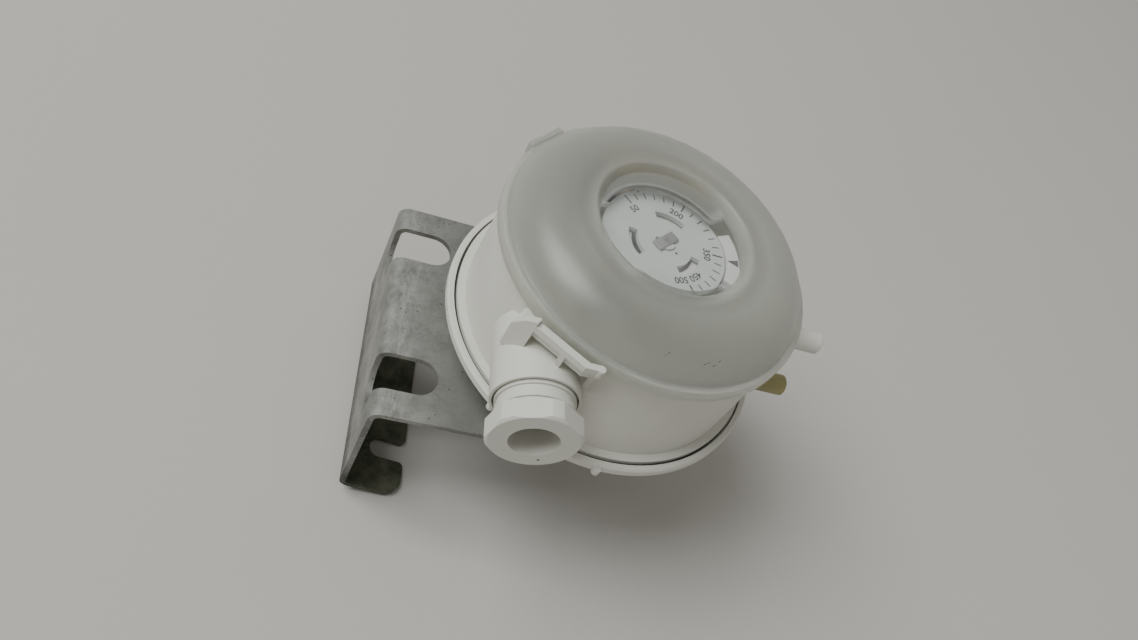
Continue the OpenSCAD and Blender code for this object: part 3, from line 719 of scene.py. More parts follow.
@dataclass(frozen=True)
class GalvanisedSheet(Finish):
    """Zinc-coated sheet steel, mottled, with painted shade on the plate beside the housing
    and on the foot, where an oily stain adds to it, and a web darker towards the bottom.

    The pairs whose names end in _x or _z say over which metres in the row frame an effect
    grows from nothing to its full strength.
    """

    name: str = "galvanised_sheet"
    light: Colour = (0.335, 0.335, 0.31)
    dark: Colour = (0.17, 0.173, 0.158)
    frost: Colour = (0.46, 0.46, 0.43)
    stain: Colour = (0.06, 0.062, 0.048)
    # The foot's colours: partly an oily stain, partly painted shade under the plate and web.
    foot: Colour = (0.050, 0.057, 0.034)
    foot_light: Colour = (0.145, 0.152, 0.108)
    metallic: float = 0.45
    fold_out_x: Pair = (-0.0062, -0.0035)
    fold_in_x: Pair = (0.0008, -0.0025)
    fold_z: Pair = (0.030, 0.034)
    # This pair and plate_z place painted shade on the plate beside the housing.
    plate_shade_x: Pair = (-0.002, 0.016)
    plate_z: Pair = (0.033, 0.036)
    # This pair makes the web darker towards the bottom.
    web_darker_z: Pair = (0.015, 0.0055)
    inside_x: Pair = (-0.0072, -0.0062)
    foot_z: Pair = (0.0052, 0.0030)
    ragged: float = 0.012

    def mottle(self, net: NodeNet, cloud: Socket, blotch: Socket, fine: Socket) -> Socket:
        """Mixes the zinc's clouds, blotches and fine spots.

        Args:
            net: the material's node tree.
            cloud: wide noise.
            blotch: middling noise.
            fine: fine noise.

        Returns:
            The colour.
        """
        base = net.ramp(cloud, [(0.36, self.dark), (0.66, self.light)])
        base = net.mix(net.span(blotch, 0.40, 0.72, 0.55), base, self.light)
        base = net.mix(net.span(blotch, 0.50, 0.30, 0.45), base, self.dark)
        base = net.mix(net.span(fine, 0.56, 0.74, 0.50), base, self.frost)
        return net.mix(net.span(fine, 0.44, 0.26, 0.40), base, self.stain)

    def weave(self, net: NodeNet) -> None:
        """Adds the mottled zinc, the worn fold, painted shade on the plate and the foot, the
        foot's oily stain, specks and a web darker towards the bottom.

        Args:
            net: the material's node tree.
        """
        cloud = net.noise(75.0, 6.0, 0.62)
        blotch = net.noise(240.0, 5.0, 0.7)
        fine = net.noise(1500.0, 3.0, 0.75)
        x, _, z = net.apart()
        base = self.mottle(net, cloud, blotch, fine)

        brushed = net.noise(330.0, 5.0, 0.75, (1.0, 0.35, 1.0))
        fold = net.times(net.span(x, *self.fold_out_x), net.span(x, *self.fold_in_x))
        worn = net.times(fold, net.span(brushed, 0.42, 0.62, 0.6))
        base = net.mix(net.times(worn, net.span(z, *self.fold_z)), base, self.frost)

        # Painted shade: the plate is darker beside the housing, which shades it.
        darkening = net.times(net.span(x, *self.plate_shade_x, 0.72), net.span(z, *self.plate_z))
        base = net.mix(net.times(darkening, net.plus(cloud, 0.45)), base, self.dark)
        specks = net.effect(Effects.specks(), Size=700.0, Amount=0.16)
        base = net.mix(net.times(specks, 0.85), base, self.stain)

        # The web gets darker towards the bottom, in fine patches.
        ragged_z = net.plus(z, net.times(net.minus(blotch, 0.5), self.ragged))
        web = net.times(net.span(ragged_z, *self.web_darker_z, 0.88), net.span(fine, 0.30, 0.55))
        base = net.mix(web, base, self.stain)
        # The foot inside the web: partly an oily stain, partly painted shade under the plate and
        # web.
        stain_and_shade = net.ramp(net.plus(net.times(cloud, 0.5), net.times(blotch, 0.5)),
                        [(0.42, self.foot), (0.60, self.foot_light)])
        inner = net.times(net.span(x, *self.inside_x), net.span(ragged_z, *self.foot_z))
        net.shade(Base_Color=net.mix(inner, base, stain_and_shade), Metallic=self.metallic,
                  Roughness=net.level(cloud, (0.3, 0.66), (0.7, 0.50)))
        net.bump(net.plus(fine, net.times(blotch, 0.8)), 0.00005, 0.6)


@dataclass(frozen=True)
class PlatedMetal(Finish):
    """Small turned or stamped metal parts."""

    colour: Colour
    roughness: float = 0.32
    darkening: float = 0.45
    tarnish_shade: float = 0.62

    def weave(self, net: NodeNet) -> None:
        """Adds cloudy tarnish and fine tool marks.

        Args:
            net: the material's node tree.
        """
        cloud = net.noise(240.0, 4.0)
        net.shade(Base_Color=net.mix(net.times(cloud, self.darkening), self.colour,
                                     scaled(self.colour, self.tarnish_shade)),
                  Metallic=1.0,
                  Roughness=net.plus(net.times(cloud, 0.22), self.roughness - 0.1))
        net.bump(net.noise(1800.0, 2.0), 0.00001, 0.4)


@dataclass(frozen=True)
class Rubber(Finish):
    """Matt rubber."""

    colour: Colour

    def weave(self, net: NodeNet) -> None:
        """Adds a bloom and a soft grain.

        Args:
            net: the material's node tree.
        """
        veil = tuple(part * 1.5 + 0.01 for part in self.colour)
        net.shade(Base_Color=net.mix(net.noise(200.0), self.colour, veil),
                  Roughness=net.level(net.noise(90.0), (0.3, 0.62), (0.7, 0.78)))
        net.bump(net.noise(1500.0, 3.0), 0.00002, 0.5)


@dataclass(frozen=True)
class AmberPlastic(Finish):
    """Yellowed, slightly clear plastic of the lower spigot."""

    name: str = "amber_plastic"
    colour: Colour = (0.52, 0.475, 0.215)
    darkest: float = 0.7
    transmission: float = 0.35

    def weave(self, net: NodeNet) -> None:
        """Adds uneven yellowing.

        Args:
            net: the material's node tree.
        """
        dark = scaled(self.colour, self.darkest)
        net.shade(Base_Color=net.ramp(net.noise(160.0), [(0.3, dark), (0.7, self.colour)]),
                  Transmission_Weight=self.transmission, IOR=1.45,
                  Roughness=net.level(net.noise(70.0), (0.3, 0.28), (0.7, 0.42)))
        net.bump(net.noise(1200.0, 2.0), 0.00001, 0.3)


@dataclass(frozen=True)
class FrostedCover(Finish):
    """Milky clear plastic of the domed cover, with dust and fine wear.

    Its colour by radius from the dial's axis is painted light and shade: painted shade in the
    recess and on the land round the window, a painted highlight on the lip and a paler
    painted rim on the skirt.
    """

    name: str = "frosted_cover"
    colour: Colour = (0.645, 0.65, 0.578)
    # The next two colours are the painted light and the painted shade that the cover's colour by
    # radius mixes between; the first also gives the painted sheen.
    pale: Colour = (0.90, 0.91, 0.83)
    painted_shade: Colour = (0.595, 0.60, 0.538)
    dust: Colour = (0.52, 0.49, 0.40)
    cloudy: Colour = (0.68, 0.70, 0.68)
    transmission: float = 0.70
    roughness: float = 0.35
    roughness_spread: float = 0.08
    clearness: float = 0.30
    coat: float = 0.35
    coat_roughness: float = 0.33
    depth: float = 0.006
    # Painted light and shade by radius: millimetres from the axis, and how pale the cover is
    # painted there.
    painted_light_by_radius: Tuple[Pair, ...] = (
        (0.0, 0.35), (18.6, 0.10), (19.5, 1.0), (20.2, 1.0), (20.9, 0.18), (23.6, 0.12),
        (25.2, 0.42), (26.6, 0.30), (33.0, 0.36), (36.6, 0.50), (37.5, 0.85), (38.2, 1.0),
        (40.2, 1.0))

    def weave(self, net: NodeNet) -> None:
        """Adds milky clouds, painted light and shade by radius, and a painted sheen that is paler
        where the surface turns away from the camera.

        Args:
            net: the material's node tree.
        """
        grime = net.effect(Effects.grime(), Scale=70.0, Strength=0.22)
        cloud = net.noise(28.0, 4.0, 0.5)
        base = net.mix(grime, self.colour, self.dust)
        base = net.mix(net.times(cloud, 0.35), base, self.cloudy)
        # Painted light and shade by radius: darker in the recess and on the land, paler on the lip
        # and the skirt.
        radius, _, _ = net.polar((0.0, 0.0))
        reach = self.painted_light_by_radius[-1][0]
        painted_tone = net.ramp(net.math("DIVIDE", radius, reach * MM),
                        [(r / reach, (grey,) * 3) for r, grey in self.painted_light_by_radius])
        base = net.mix(painted_tone, self.painted_shade, net.mix(0.5, base, self.pale))
        # Painted sheen: the colour grows paler where the surface turns away from the camera.
        turned = add_node(net.tree, "ShaderNodeLayerWeight", in_Blend=0.30).outputs["Facing"]
        see = net.times(net.minus(1.0, turned), self.clearness)
        net.shade(Base_Color=net.mix(turned, base, self.pale),
                  Transmission_Weight=self.transmission, IOR=1.38,
                  Coat_Weight=self.coat, Coat_Roughness=self.coat_roughness,
                  Subsurface_Weight=0.5, Subsurface_Radius=(1.0, 1.0, 0.9),
                  Subsurface_Scale=self.depth, Alpha=net.minus(1.0, see),
                  Roughness=net.plus(net.times(cloud, self.roughness_spread),
                                     self.roughness - self.roughness_spread / 2.0))
        net.bump(net.noise(1900.0, 3.0), 0.000012, 0.4)


@dataclass(frozen=True)
class ClearWindow(Finish):
    """Clear window in the middle of the cover, with painted shade on one side: a grey
    veil that stands in for the shaded inside seen there.

    The veil lies outside a circle, on the side of its azimuth, and a narrow shade lies
    along the window's edge on the other side.
    """

    name: str = "clear_window"
    glass: Colour = (0.93, 0.95, 0.94)
    # Painted shade: a grey veil that stands in for the shaded inside seen through the window's far
    # side.
    veil_shade: Colour = (0.27, 0.275, 0.245)
    shadow: Colour = (0.16, 0.165, 0.145)
    veil_centre: Pair = (-1.56, -3.10)
    veil_r: Pair = (15.9, 17.5)
    veil_azimuth: float = 100.0
    veil_side: Pair = (0.42, 0.62)
    shadow_r: Pair = (16.3, 16.9)
    shadow_side: Pair = (-0.80, -0.55)
    veil_shade_alpha: float = 0.72

    def weave(self, net: NodeNet) -> None:
        """Adds the veil's painted shade, the painted shadow and thin dust.

        Args:
            net: the material's node tree.
        """
        # Painted shade: a grey veil outside a circle, on the side of its azimuth.
        radius, dx, dy = net.polar(self.veil_centre)
        turn = math.radians(self.veil_azimuth)
        along = net.plus(net.times(dx, math.cos(turn)), net.times(dy, math.sin(turn)))
        side = net.math("DIVIDE", along, radius)
        veil = net.times(net.span(radius, *[r * MM for r in self.veil_r]),
                          net.span(side, *self.veil_side))
        own, _, _ = net.polar((0.0, 0.0))
        ring = net.times(net.span(own, *[r * MM for r in self.shadow_r]),
                         net.minus(1.0, net.span(side, *self.shadow_side)))
        dust = net.level(net.noise(150.0, 5.0), (0.35, 0.03), (0.75, 0.09))
        # How strongly the veil's painted shade and the painted shadow cover the window.
        painted_shade_alpha = net.times(net.math("ADD", veil, ring, clamp=True), self.veil_shade_alpha)
        net.shade(Base_Color=net.mix(ring, net.mix(veil, self.glass, self.veil_shade), self.shadow),
                  Alpha=net.math("MAXIMUM", painted_shade_alpha, dust),
                  Roughness=net.plus(net.times(veil, 0.4), 0.08))


@dataclass(frozen=True)
class Ink(Finish):
    """Printed ink on the dial and index."""

    name: str = "dial_ink"
    colour: Colour = (0.018, 0.019, 0.018)
    worn: float = 2.4

    def weave(self, net: NodeNet) -> None:
        """Adds slightly worn patches.

        Args:
            net: the material's node tree.
        """
        net.shade(Base_Color=net.mix(net.noise(1400.0, 3.0), self.colour,
                                     scaled(self.colour, self.worn)),
                  Roughness=net.level(net.noise(500.0), (0.3, 0.5), (0.7, 0.65)))


@dataclass(frozen=True)
class PaleFloor(Finish):
    """Plain pale floor."""

    name: str = "pale_floor"
    colour: Colour = (0.53, 0.514, 0.476)
    darkest: float = 0.9

    def weave(self, net: NodeNet) -> None:
        """Adds faint wide clouds and a fine grain.

        Args:
            net: the material's node tree.
        """
        net.shade(Base_Color=net.mix(net.times(net.noise(9.0, 5.0), 0.35), self.colour,
                                     scaled(self.colour, self.darkest)),
                  Roughness=0.9)
        net.bump(net.noise(1300.0, 2.0), 0.00012, 0.3)


@dataclass
class Palette:
    """The finishes of the whole switch, each built once."""

    housing: Finish = MouldedPlastic("housing_white", (0.66, 0.66, 0.595))
    bridge: Finish = MouldedPlastic("bridge_plastic", (0.66, 0.67, 0.62), 0.45)
    dial: Finish = MouldedPlastic("dial_face", (0.50, 0.53, 0.49), 0.40, speck_amount=0.004)
    switch: Finish = MouldedPlastic("switch_black", (0.03, 0.03, 0.032), 0.45,
                                    dust=(0.12, 0.12, 0.11))
    button: Finish = MouldedPlastic("button_red", (0.42, 0.03, 0.025), 0.40)
    spindle: Finish = MouldedPlastic("spindle_grey", (0.20, 0.205, 0.19), 0.45,
                                     dust=(0.42, 0.42, 0.38), dust_strength=0.5)
    bracket: Finish = GalvanisedSheet()
    screws: Finish = PlatedMetal("screw_steel", (0.55, 0.55, 0.52))
    plated: Finish = PlatedMetal("plated_metal", (0.60, 0.61, 0.60), 0.28)
    spring: Finish = PlatedMetal("spring_steel", (0.48, 0.49, 0.49), 0.25)
    brass: Finish = PlatedMetal("brass", (0.62, 0.47, 0.22), 0.3)
    black_rubber: Finish = Rubber("black_rubber", (0.03, 0.03, 0.03))
    grey_rubber: Finish = Rubber("grey_seal", (0.22, 0.22, 0.22))
    amber: Finish = AmberPlastic()
    frosted: Finish = FrostedCover()
    window: Finish = ClearWindow()
    ink: Finish = Ink()
    floor: Finish = PaleFloor()
    built: Dict[str, bpy.types.Material] = field(default_factory=dict)

    def get(self, finish: Finish) -> bpy.types.Material:
        """Gives the material of a finish, building it the first time.

        Args:
            finish: one of the finishes.

        Returns:
            The material.
        """
        if finish.name not in self.built:
            self.built[finish.name] = finish.build()
        return self.built[finish.name]

    def dress(self, piece: bpy.types.Object, finish: Finish) -> None:
        """Gives a piece or node one finish all over.

        Args:
            piece: the object to dress.
            finish: one of the finishes.
        """
        material = self.get(finish)
        if not piece.material_slots:
            piece.data.materials.append(material)
        for slot in piece.material_slots:
            slot.material = material


# ---------------------------------------------------------------- sub-assemblies


@dataclass
class SubAssembly:
    """Pieces that belong together, and the finishes that they are dressed with."""

    palette: Palette


def keep(piece: bpy.types.Object, body: Body, slot: Slot, *nodes: str) -> None:
    """Makes a finished piece ride on its body.

    Args:
        piece: the finished piece.
        body: the body it moves with.
        slot: the record's slot for the piece; not used.
        nodes: the nodes that it stands for, if any.
    """
    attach(piece, body.value)
    if nodes:
        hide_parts(*nodes)
    LOG.info("piece %s on %s, %d faces", piece.name, body.value, len(piece.data.polygons))


@dataclass
class CoverDome(SubAssembly):
    """Frosted dome with its recessed clear window, its skirt and its catch.

    The lip is given by steps in radius and height from lip_r and the top, and its inside by
    steps from lip_r and the top less the wall.
    """

    rim_r: float = 37.6
    shoulder_r: float = 12.5
    top_z: float = 52.5
    seam_z: float = 44.1
    wall: float = 1.6
    lip_r: float = 19.9
    lip: Tuple[Pair, ...] = (
        (-0.60, -0.55), (-0.38, -0.25), (-0.12, -0.08), (0.15, -0.02), (0.5, -0.06),
        (1.2, -0.24), (2.2, -0.40), (3.4, -0.36), (4.4, -0.18), (5.0, -0.05), (5.4, -0.005))
    lip_inside: Tuple[Pair, ...] = ((3.0, -0.3), (1.2, -0.2), (0.7, -0.4))
    window_r: float = 18.2
    window_z: float = 50.3
    window_edge: float = 0.02
    skirt_r: float = 39.2
    skirt_in: float = 37.9
    skirt_low: float = 40.1
    skirt_top: float = 43.9
    ledge_z: float = 43.0
    catch_azimuth: float = 137.5
    catch_width: float = 11.5
    catch_in: float = 0.8
    catch_out: float = 1.0
    catch_over: float = 0.2
    catch_edge: float = 0.35
    arc_steps: int = 26
    turn_steps: int = 192

    def seam_angle(self) -> float:
        """Angle above the horizontal at which the shoulder meets the skirt, in degrees."""
        rise = self.seam_z - (self.top_z - self.shoulder_r)
        return math.degrees(math.asin(rise / self.shoulder_r))

    def arc(self, radius: float, start: float, end: float) -> List[Pair]:
        """Points on the shoulder's arc.

        Args:
            radius: radius of the arc.
            start: first angle in degrees above the horizontal.
            end: last angle.

        Returns:
            Radius and height of each point.
        """
        centre_r = self.rim_r - self.shoulder_r * math.cos(math.radians(self.seam_angle()))
        centre_z = self.top_z - self.shoulder_r
        points = []
        for i in range(self.arc_steps + 1):
            a = math.radians(start + (end - start) * i / self.arc_steps)
            points.append((centre_r + radius * math.cos(a), centre_z + radius * math.sin(a)))
        return points

    def skirt(self) -> List[Pair]:
        """Points of the skirt, from the seam down its outside and up its inside.

        Returns:
            Radius and height of each point.
        """
        out, top, low = self.skirt_r, self.skirt_top, self.skirt_low
        return [
            (self.rim_r + 0.06, top + 0.08), (self.rim_r + 0.22, top), (out - 0.45, top),
            (out - 0.13, top - 0.12), (out, top - 0.45), (out, low + 0.3), (out - 0.25, low),
            (self.skirt_in + 0.2, low), (self.skirt_in, low + 0.2),
            (self.skirt_in, self.ledge_z), (self.rim_r - self.wall, self.ledge_z),
        ]

    def profile(self) -> List[Pair]:
        """The cover's profile from the middle of the window outwards and back inside.

        Returns:
            Radius and height of each point.
        """
        win, under = self.window_z, self.window_z - self.wall
        land = [(self.lip_r + r, self.top_z + z) for r, z in self.lip]
        inside = [(self.lip_r + r, self.top_z - self.wall + z) for r, z in self.lip_inside]
        return [
            (0.0, win), (self.window_r, win), (self.window_r + 0.2, win + 0.3), *land,
            *self.arc(self.shoulder_r, 86.0, self.seam_angle()), *self.skirt(),
            *self.arc(self.shoulder_r - self.wall, self.seam_angle(), 90.0), *inside,
            (self.window_r + 1.0, under + 0.3), (self.window_r + 0.5, under), (0.0, under),
        ]

    def catch(self) -> bpy.types.Object:
        """Models the catch that hooks over the collar.

        Returns:
            The catch.
        """
        half = self.catch_width / 2
        piece = Bench.block(
            "catch", (self.skirt_r - self.catch_in, -half, self.skirt_low),
            (self.skirt_r + self.catch_out, half, self.skirt_top + self.catch_over),
            self.catch_edge)
        Bench.turn(piece, self.catch_azimuth)
        return piece

    def build(self) -> None:
        """Models the cover and makes it stand for its node."""
        shell = Bench.lathe("cover_dome", self.profile(), self.turn_steps)
        dome = Bench.join("cover_dome", [shell, self.catch()])
        Bench.smooth(dome)
        dome.data.materials.clear()
        dome.data.materials.append(self.palette.get(self.palette.frosted))
        dome.data.materials.append(self.palette.get(self.palette.window))
        axis = place(0.0, 0.0, 0.0)
        for face in dome.data.polygons:
            radius = math.hypot(face.center.x - axis.x, face.center.y - axis.y)
            face.material_index = int(radius < (self.window_r - self.window_edge) * MM)
        keep(dome, Body.COVER, Slot.COVER, "cover")


@dataclass
class DialPrint(SubAssembly):
    """Scale and numbers printed on the dial, and the key across its spindle.

    A tick's size is half its length, then its width.
    """

    top_z: float = 46.5
    ink_t: float = 0.04
    lift: float = 0.001
    first_azimuth: float = 131.0
    step: float = 10.85
    ticks: int = 19
    long_every: int = 6
    long_tick: Pair = (1.35, 0.42)
    short_tick: Pair = (0.95, 0.28)
    tick_mid_r: float = 13.9
    numbers: Tuple[Tuple[str, float], ...] = (
        ("50", -0.2), ("200", 5.6), ("350", 12.2), ("450", 16.6), ("500", 18.7))
    number_r: float = 10.9
    number_size: float = 2.5
    number_weight: float = 0.05
    key_size: Pair = (7.0, 2.9)
    key_z: Pair = (0.02, 0.80)
    key_edge: float = 0.3
    key_azimuth: float = 43.0
    key_screw: Pair = (0.75, 0.06)
    dot: Pair = (2.7, -2.6)
    dot_r: float = 0.3

    def tick(self, name: str, size: Pair) -> bpy.types.Object:
        """Models one line of the scale, on the dial's X axis.

        Args:
            name: its name.
            size: half its length, and its width.

        Returns:
            The line.
        """
        half, width = size
        return Bench.block(name, (self.tick_mid_r - half, -width / 2, self.top_z + self.lift),
                           (self.tick_mid_r + half, width / 2, self.top_z + self.ink_t))

    def scale(self) -> List[bpy.types.Object]:
        """Models a long and a short line, and copies them round the scale.

        Returns:
            The lines of the scale.
        """
        first = {True: self.tick("long_tick", self.long_tick),
                 False: self.tick("short_tick", self.short_tick)}
        lines = []
        for i in range(self.ticks):
            lines.append(Bench.copy(f"tick_{i:02d}", first[i % self.long_every == 0]))
            Bench.turn(lines[-1], self.first_azimuth - self.step * i)
        for line in first.values():
            bpy.data.objects.remove(line)
        return lines

    def number(self, text: str, azimuth: float) -> bpy.types.Object:
        """Models one number with its top outwards.

        Args:
            text: the number.
            azimuth: its direction from the axis, in degrees.

        Returns:
            The number as a mesh.
        """
        Bench.clear()
        bpy.ops.object.text_add(location=(0.0, 0.0, 0.0))
        letters = bpy.context.object.data
        letters.body = text
        letters.size = self.number_size * MM
        letters.align_x = "CENTER"
        letters.align_y = "CENTER"
        letters.extrude = 0.5 * self.ink_t * MM
        letters.offset = self.number_weight * MM
        letters.resolution_u = 3
        bpy.ops.object.convert(target="MESH")
        piece = Bench.active(f"number_{text}")
        a = math.radians(azimuth)
        spot = place(self.number_r * math.cos(a), self.number_r * math.sin(a),
                     self.top_z + 0.5 * self.ink_t)
        turned = Matrix.Rotation(math.radians(azimuth - 90.0), 4, "Z")
        piece.matrix_world = Matrix.Translation(spot) @ turned
        return Bench.settle(piece)

    def key(self) -> None:
        """Models the grey key across the spindle's end, with its small screw."""
        half_l, half_w = self.key_size[0] / 2, self.key_size[1] / 2
        low, high = [self.top_z + z for z in self.key_z]
        bar = Bench.block("key_bar", (-half_l, -half_w, low), (half_l, half_w, high),
                          self.key_edge)
        Bench.turn(bar, self.key_azimuth)
        self.palette.dress(bar, self.palette.spindle)
        radius, height = self.key_screw
        head = Bench.disc("key_screw", radius, height, (0.0, 0.0, high + height / 2), 32)
        self.palette.dress(head, self.palette.screws)
        keep(Bench.join("spindle_key", [bar, head]), Body.DIAL, Slot.DIAL)

    def build(self) -> None:
        """Models the print and the key, and makes them ride on the dial."""
        marks = self.scale()
        for text, index in self.numbers:
            marks.append(self.number(text, self.first_azimuth - self.step * index))
        marks.append(Bench.disc("dot", self.dot_r, self.ink_t,
                                (*self.dot, self.top_z + 0.5 * self.ink_t), 24))
        printed = Bench.join("dial_scale", marks)
        self.palette.dress(printed, self.palette.ink)
        keep(printed, Body.DIAL, Slot.DIAL)
        self.key()


@dataclass
class IndexMark(SubAssembly):
    """Black triangle on the block beside the dial."""

    top_z: float = 46.5
    ink_t: float = 0.04
    lift: float = 0.001
    apex_r: float = 16.5
    base_r: float = 19.5
    azimuth: float = -1.4
    half_width: float = 1.1

    def build(self) -> None:
        """Models the triangle from a flat disc of three sides, one corner to the axis."""
        radius = (self.base_r - self.apex_r) / 1.5
        Bench.clear()
        bpy.ops.mesh.primitive_cylinder_add(
            vertices=3, radius=radius * MM, depth=self.ink_t * MM,
            location=place(self.apex_r + radius, 0.0, self.top_z + self.lift + self.ink_t / 2),
            rotation=(0.0, 0.0, math.pi / 2.0))
        mark = Bench.active("index_mark")
        mark.scale.x = self.half_width / (radius * math.sin(math.radians(60.0)))
        Bench.turn(Bench.settle(mark), self.azimuth)
        self.palette.dress(mark, self.palette.ink)
        keep(mark, Body.SWITCH, Slot.BRIDGE)


@dataclass
class Scuffs(SubAssembly):
    """Small dark scratches on the cover, and tool marks on the bracket's web.

    Each is given by its two ends and the direction out of the surface.
    """

    thickness: float = 0.03
    overrun: float = 0.15
    scratch_width: float = 0.16
    dent_width: float = 0.28
    dent_sink: float = 0.018
    dome: Tuple[Tuple[Point, Point, Point], ...] = (
        ((-3.77, -34.72, 48.51), (-3.29, -34.41, 48.89), (-0.079, -0.727, 0.682)),
        ((-3.29, -34.41, 48.89), (-2.72, -33.92, 49.39), (-0.067, -0.699, 0.712)),
        ((5.19, -34.76, 48.28), (6.24, -34.15, 48.75), (0.111, -0.741, 0.663)),
        ((6.24, -34.15, 48.75), (6.99, -33.76, 48.97), (0.128, -0.702, 0.700)),
        ((7.63, -34.31, 48.28), (8.67, -33.80, 48.56), (0.163, -0.731, 0.663)),
        ((8.67, -33.80, 48.56), (9.62, -32.68, 49.37), (0.181, -0.706, 0.685)),
    )
    web: Tuple[Tuple[Point, Point, Point], ...] = (
        ((-54.8, 26.4, -29.4), (-54.8, 23.6, -27.2), (-1.0, 0.0, 0.0)),
        ((-54.8, -18.3, -29.8), (-54.8, -16.6, -29.6), (-1.0, 0.0, 0.0)),
        ((-54.8, -21.5, -23.4), (-54.8, -19.9, -23.1), (-1.0, 0.0, 0.0)),
    )

    def mark(self, name: str, ends: Tuple[Point, Point, Point], width: float,
             sink: float) -> bpy.types.Object:
        """Models one mark that lies on a surface, from a flattened ball.

        Args:
            name: the mark's name.
            ends: its two ends and the direction out of the surface.
            width: width of the mark.
            sink: depth of the mark's middle below the surface.

        Returns:
            The mark.
        """
        a, b, up = [Vector(point) for point in ends]
        up.normalize()
        along = (b - a) - up * (b - a).dot(up)
        length = along.length + self.overrun
        along.normalize()
        Bench.clear()
        bpy.ops.mesh.primitive_uv_sphere_add(segments=16, ring_count=8, radius=0.5)
        piece = Bench.active(name)
        piece.matrix_world = axes_matrix(
            [along * length * MM, up.cross(along) * width * MM, up * self.thickness * MM],
            place(*((a + b) / 2.0 - up * sink)))
        Bench.settle(piece)
        Bench.smooth(piece, 60.0)
        return piece

    def build(self) -> None:
        """Models the marks and makes them ride on what they mark."""
        scratches = [self.mark(f"scratch_{i}", ends, self.scratch_width, 0.0)
                     for i, ends in enumerate(self.dome)]
        scratched = Bench.join("cover_scratches", scratches)
        self.palette.dress(scratched, self.palette.ink)
        keep(scratched, Body.COVER, Slot.COVER)
        dents = [self.mark(f"dent_{i}", ends, self.dent_width, self.dent_sink)
                 for i, ends in enumerate(self.web)]
        dented = Bench.join("web_marks", dents)
        self.palette.dress(dented, self.palette.ink)
        keep(dented, Body.SWITCH, Slot.BRACKET)


@dataclass
class SoftenedShells(SubAssembly):
    """The visible mouldings and the sheet, by the width of their softened edges."""

    drum: float = 0.30
    base: float = 0.25
    sheet: float = 0.22
    gland: float = 0.30
    dial: float = 0.12

    def build(self) -> None:
        """Models each shell from its node."""
        white, zinc, face = self.palette.housing, self.palette.bracket, self.palette.dial
        plan = [
            ("drum_shell", "upper_housing", self.drum, white, Body.SWITCH, Slot.HOUSING),
            ("base_shell", "lower_housing", self.base, white, Body.SWITCH, Slot.HOUSING),
            ("folded_sheet", "bracket", self.sheet, zinc, Body.SWITCH, Slot.BRACKET),
            ("pressure_screw", "gland_screw", self.gland, white, Body.GLAND, Slot.HOUSING),
            ("dial_disc", "dial", self.dial, face, Body.DIAL, Slot.DIAL),
        ]
        for name, node, width, finish, body, slot in plan:
            shell = Bench.softened_copy(name, node, width)
            self.palette.dress(shell, finish)
            keep(shell, body, slot, node)


@dataclass
class RangeSpring(SubAssembly):
    """The coil of the range spring."""

    softened: float = 0.05
    end_angle: float = 80.0

    def build(self) -> None:
        """Models the coil from its node and puts its place into its mesh."""
        coil = Bench.softened_copy("spring_coil", "range_spring", self.softened, self.end_angle)
        self.palette.dress(coil, self.palette.spring)
        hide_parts("range_spring")
        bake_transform(coil)
        LOG.info("piece %s between two bodies, %d faces", coil.name, len(coil.data.polygons))


@dataclass
class BareNodes(SubAssembly):
    """Finishes of the nodes that keep their own solids."""

    def build(self) -> None:
        """Gives each node its finish."""
        own = self.palette
        finishes = {
            "bracket": own.bracket, "bracket_screws": own.screws,
            "lower_housing": own.housing, "lower_spigot": own.amber,
            "membrane": own.black_rubber, "membrane_disc": own.plated,
            "plunger": own.bridge, "upper_housing": own.housing,
            "range_spring": own.spring, "spring_seat": own.brass,
            "bridge": own.bridge, "bridge_screws": own.screws,
            "spindle": own.dial, "dial": own.dial,
            "switch_case": own.switch, "switch_button": own.button,
            "switch_screws": own.screws, "blades": own.brass,
            "wire_clamps": own.brass, "clamp_screws": own.screws,
            "gland_screw": own.housing, "gland_seal": own.black_rubber,
            "gland_washer": own.plated, "cover_seal": own.grey_rubber,
            "cover": own.frosted,
        }
        for name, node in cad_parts.items():
            own.dress(node, finishes[name])
            LOG.info("node %s dressed with %s", name, finishes[name].name)


# ---------------------------------------------------------------- studio


@dataclass(frozen=True)
class Lamp:
    """A soft square area light that faces the switch.

    The distance and the size are metres and the power is watts. The direction leads from
    the switch to the light.
    """

    name: str
    towards: Point
    distance: float
    size: float
    power: float
    colour: Colour

    def build(self, target: Vector) -> None:
        """Adds the light.

        Args:
            target: the point that it faces, in metres.
        """
        data = bpy.data.lights.new(self.name, "AREA")
        data.shape = "SQUARE"
        data.size = self.size
        data.energy = self.power
        data.color = self.colour
        lamp = bpy.data.objects.new(self.name, data)
        bpy.context.scene.collection.objects.link(lamp)
        direction = Vector(self.towards).normalized()
        lamp.location = target + direction * self.distance
        lamp.rotation_euler = direction.to_track_quat("Z", "Y").to_euler()


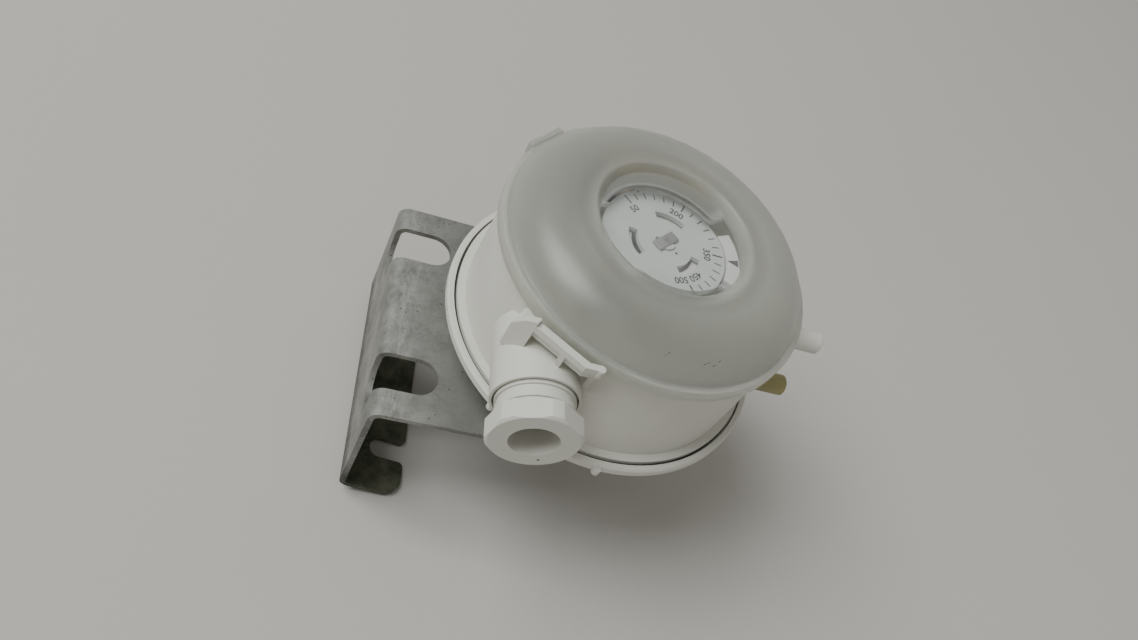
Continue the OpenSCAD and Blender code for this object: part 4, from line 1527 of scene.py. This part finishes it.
@dataclass
class Studio(SubAssembly):
    """Pale floor, soft lights and the camera at the photograph's angle.

    The camera is given by its place and its own axes, and its focal length in pixels of a
    picture as wide as the photograph.
    """

    eye: Point = (-82.0, -144.5, 187.0)
    right: Point = (0.92473, 0.00054, 0.38061)
    up: Point = (-0.22979, 0.79797, 0.55717)
    back: Point = (-0.30342, -0.60270, 0.73803)
    focal_px: float = 925.0
    frame_px: float = 1138.0
    sensor: float = 36.0
    floor_z: float = -1.55
    floor_size: float = 6.0
    sky: Tuple[float, float, float, float] = (1.0, 0.985, 0.95, 1.0)
    sky_strength: float = 0.315
    lit_z: float = 10.0
    lamps: Tuple[Lamp, ...] = (
        Lamp("window_light", (-0.60, 0.02, 0.86), 2.4, 1.4, 56.0, (0.97, 0.985, 1.0)),
        Lamp("room_light", (-0.3, -0.8, 0.7), 1.8, 1.6, 1.3, (1.0, 0.97, 0.92)))

    def camera(self) -> None:
        """Sets the camera where the photograph was taken."""
        data = bpy.data.cameras.new("camera")
        data.sensor_width = self.sensor
        data.sensor_fit = "HORIZONTAL"
        data.lens = self.focal_px / self.frame_px * self.sensor
        data.clip_start = 0.01
        data.clip_end = 20.0
        camera = bpy.data.objects.new("camera", data)
        bpy.context.scene.collection.objects.link(camera)
        camera.matrix_world = axes_matrix([self.right, self.up, self.back], place(*self.eye))
        bpy.context.scene.camera = camera

    def build(self) -> None:
        """Builds the floor, lights and camera."""
        Bench.clear()
        bpy.ops.mesh.primitive_plane_add(size=self.floor_size,
                                         location=(0.0, 0.0, self.floor_z * MM))
        floor = Bench.settle(Bench.active("floor"))
        self.palette.dress(floor, self.palette.floor)
        scene = bpy.context.scene
        scene.world = scene.world or bpy.data.worlds.new("studio")
        scene.world.use_nodes = True
        light = scene.world.node_tree.nodes.get("Background")
        light.inputs["Color"].default_value = self.sky
        light.inputs["Strength"].default_value = self.sky_strength
        for lamp in self.lamps:
            lamp.build(place(0.0, 0.0, self.lit_z))
        self.camera()


def main() -> None:
    """Builds the switch, piece by piece, and the studio round it."""
    palette = Palette()
    for assembly in (Studio, BareNodes, SoftenedShells, RangeSpring, CoverDome, DialPrint,
                     IndexMark, Scuffs):
        assembly(palette).build()


if __name__ == "__main__":
    main()
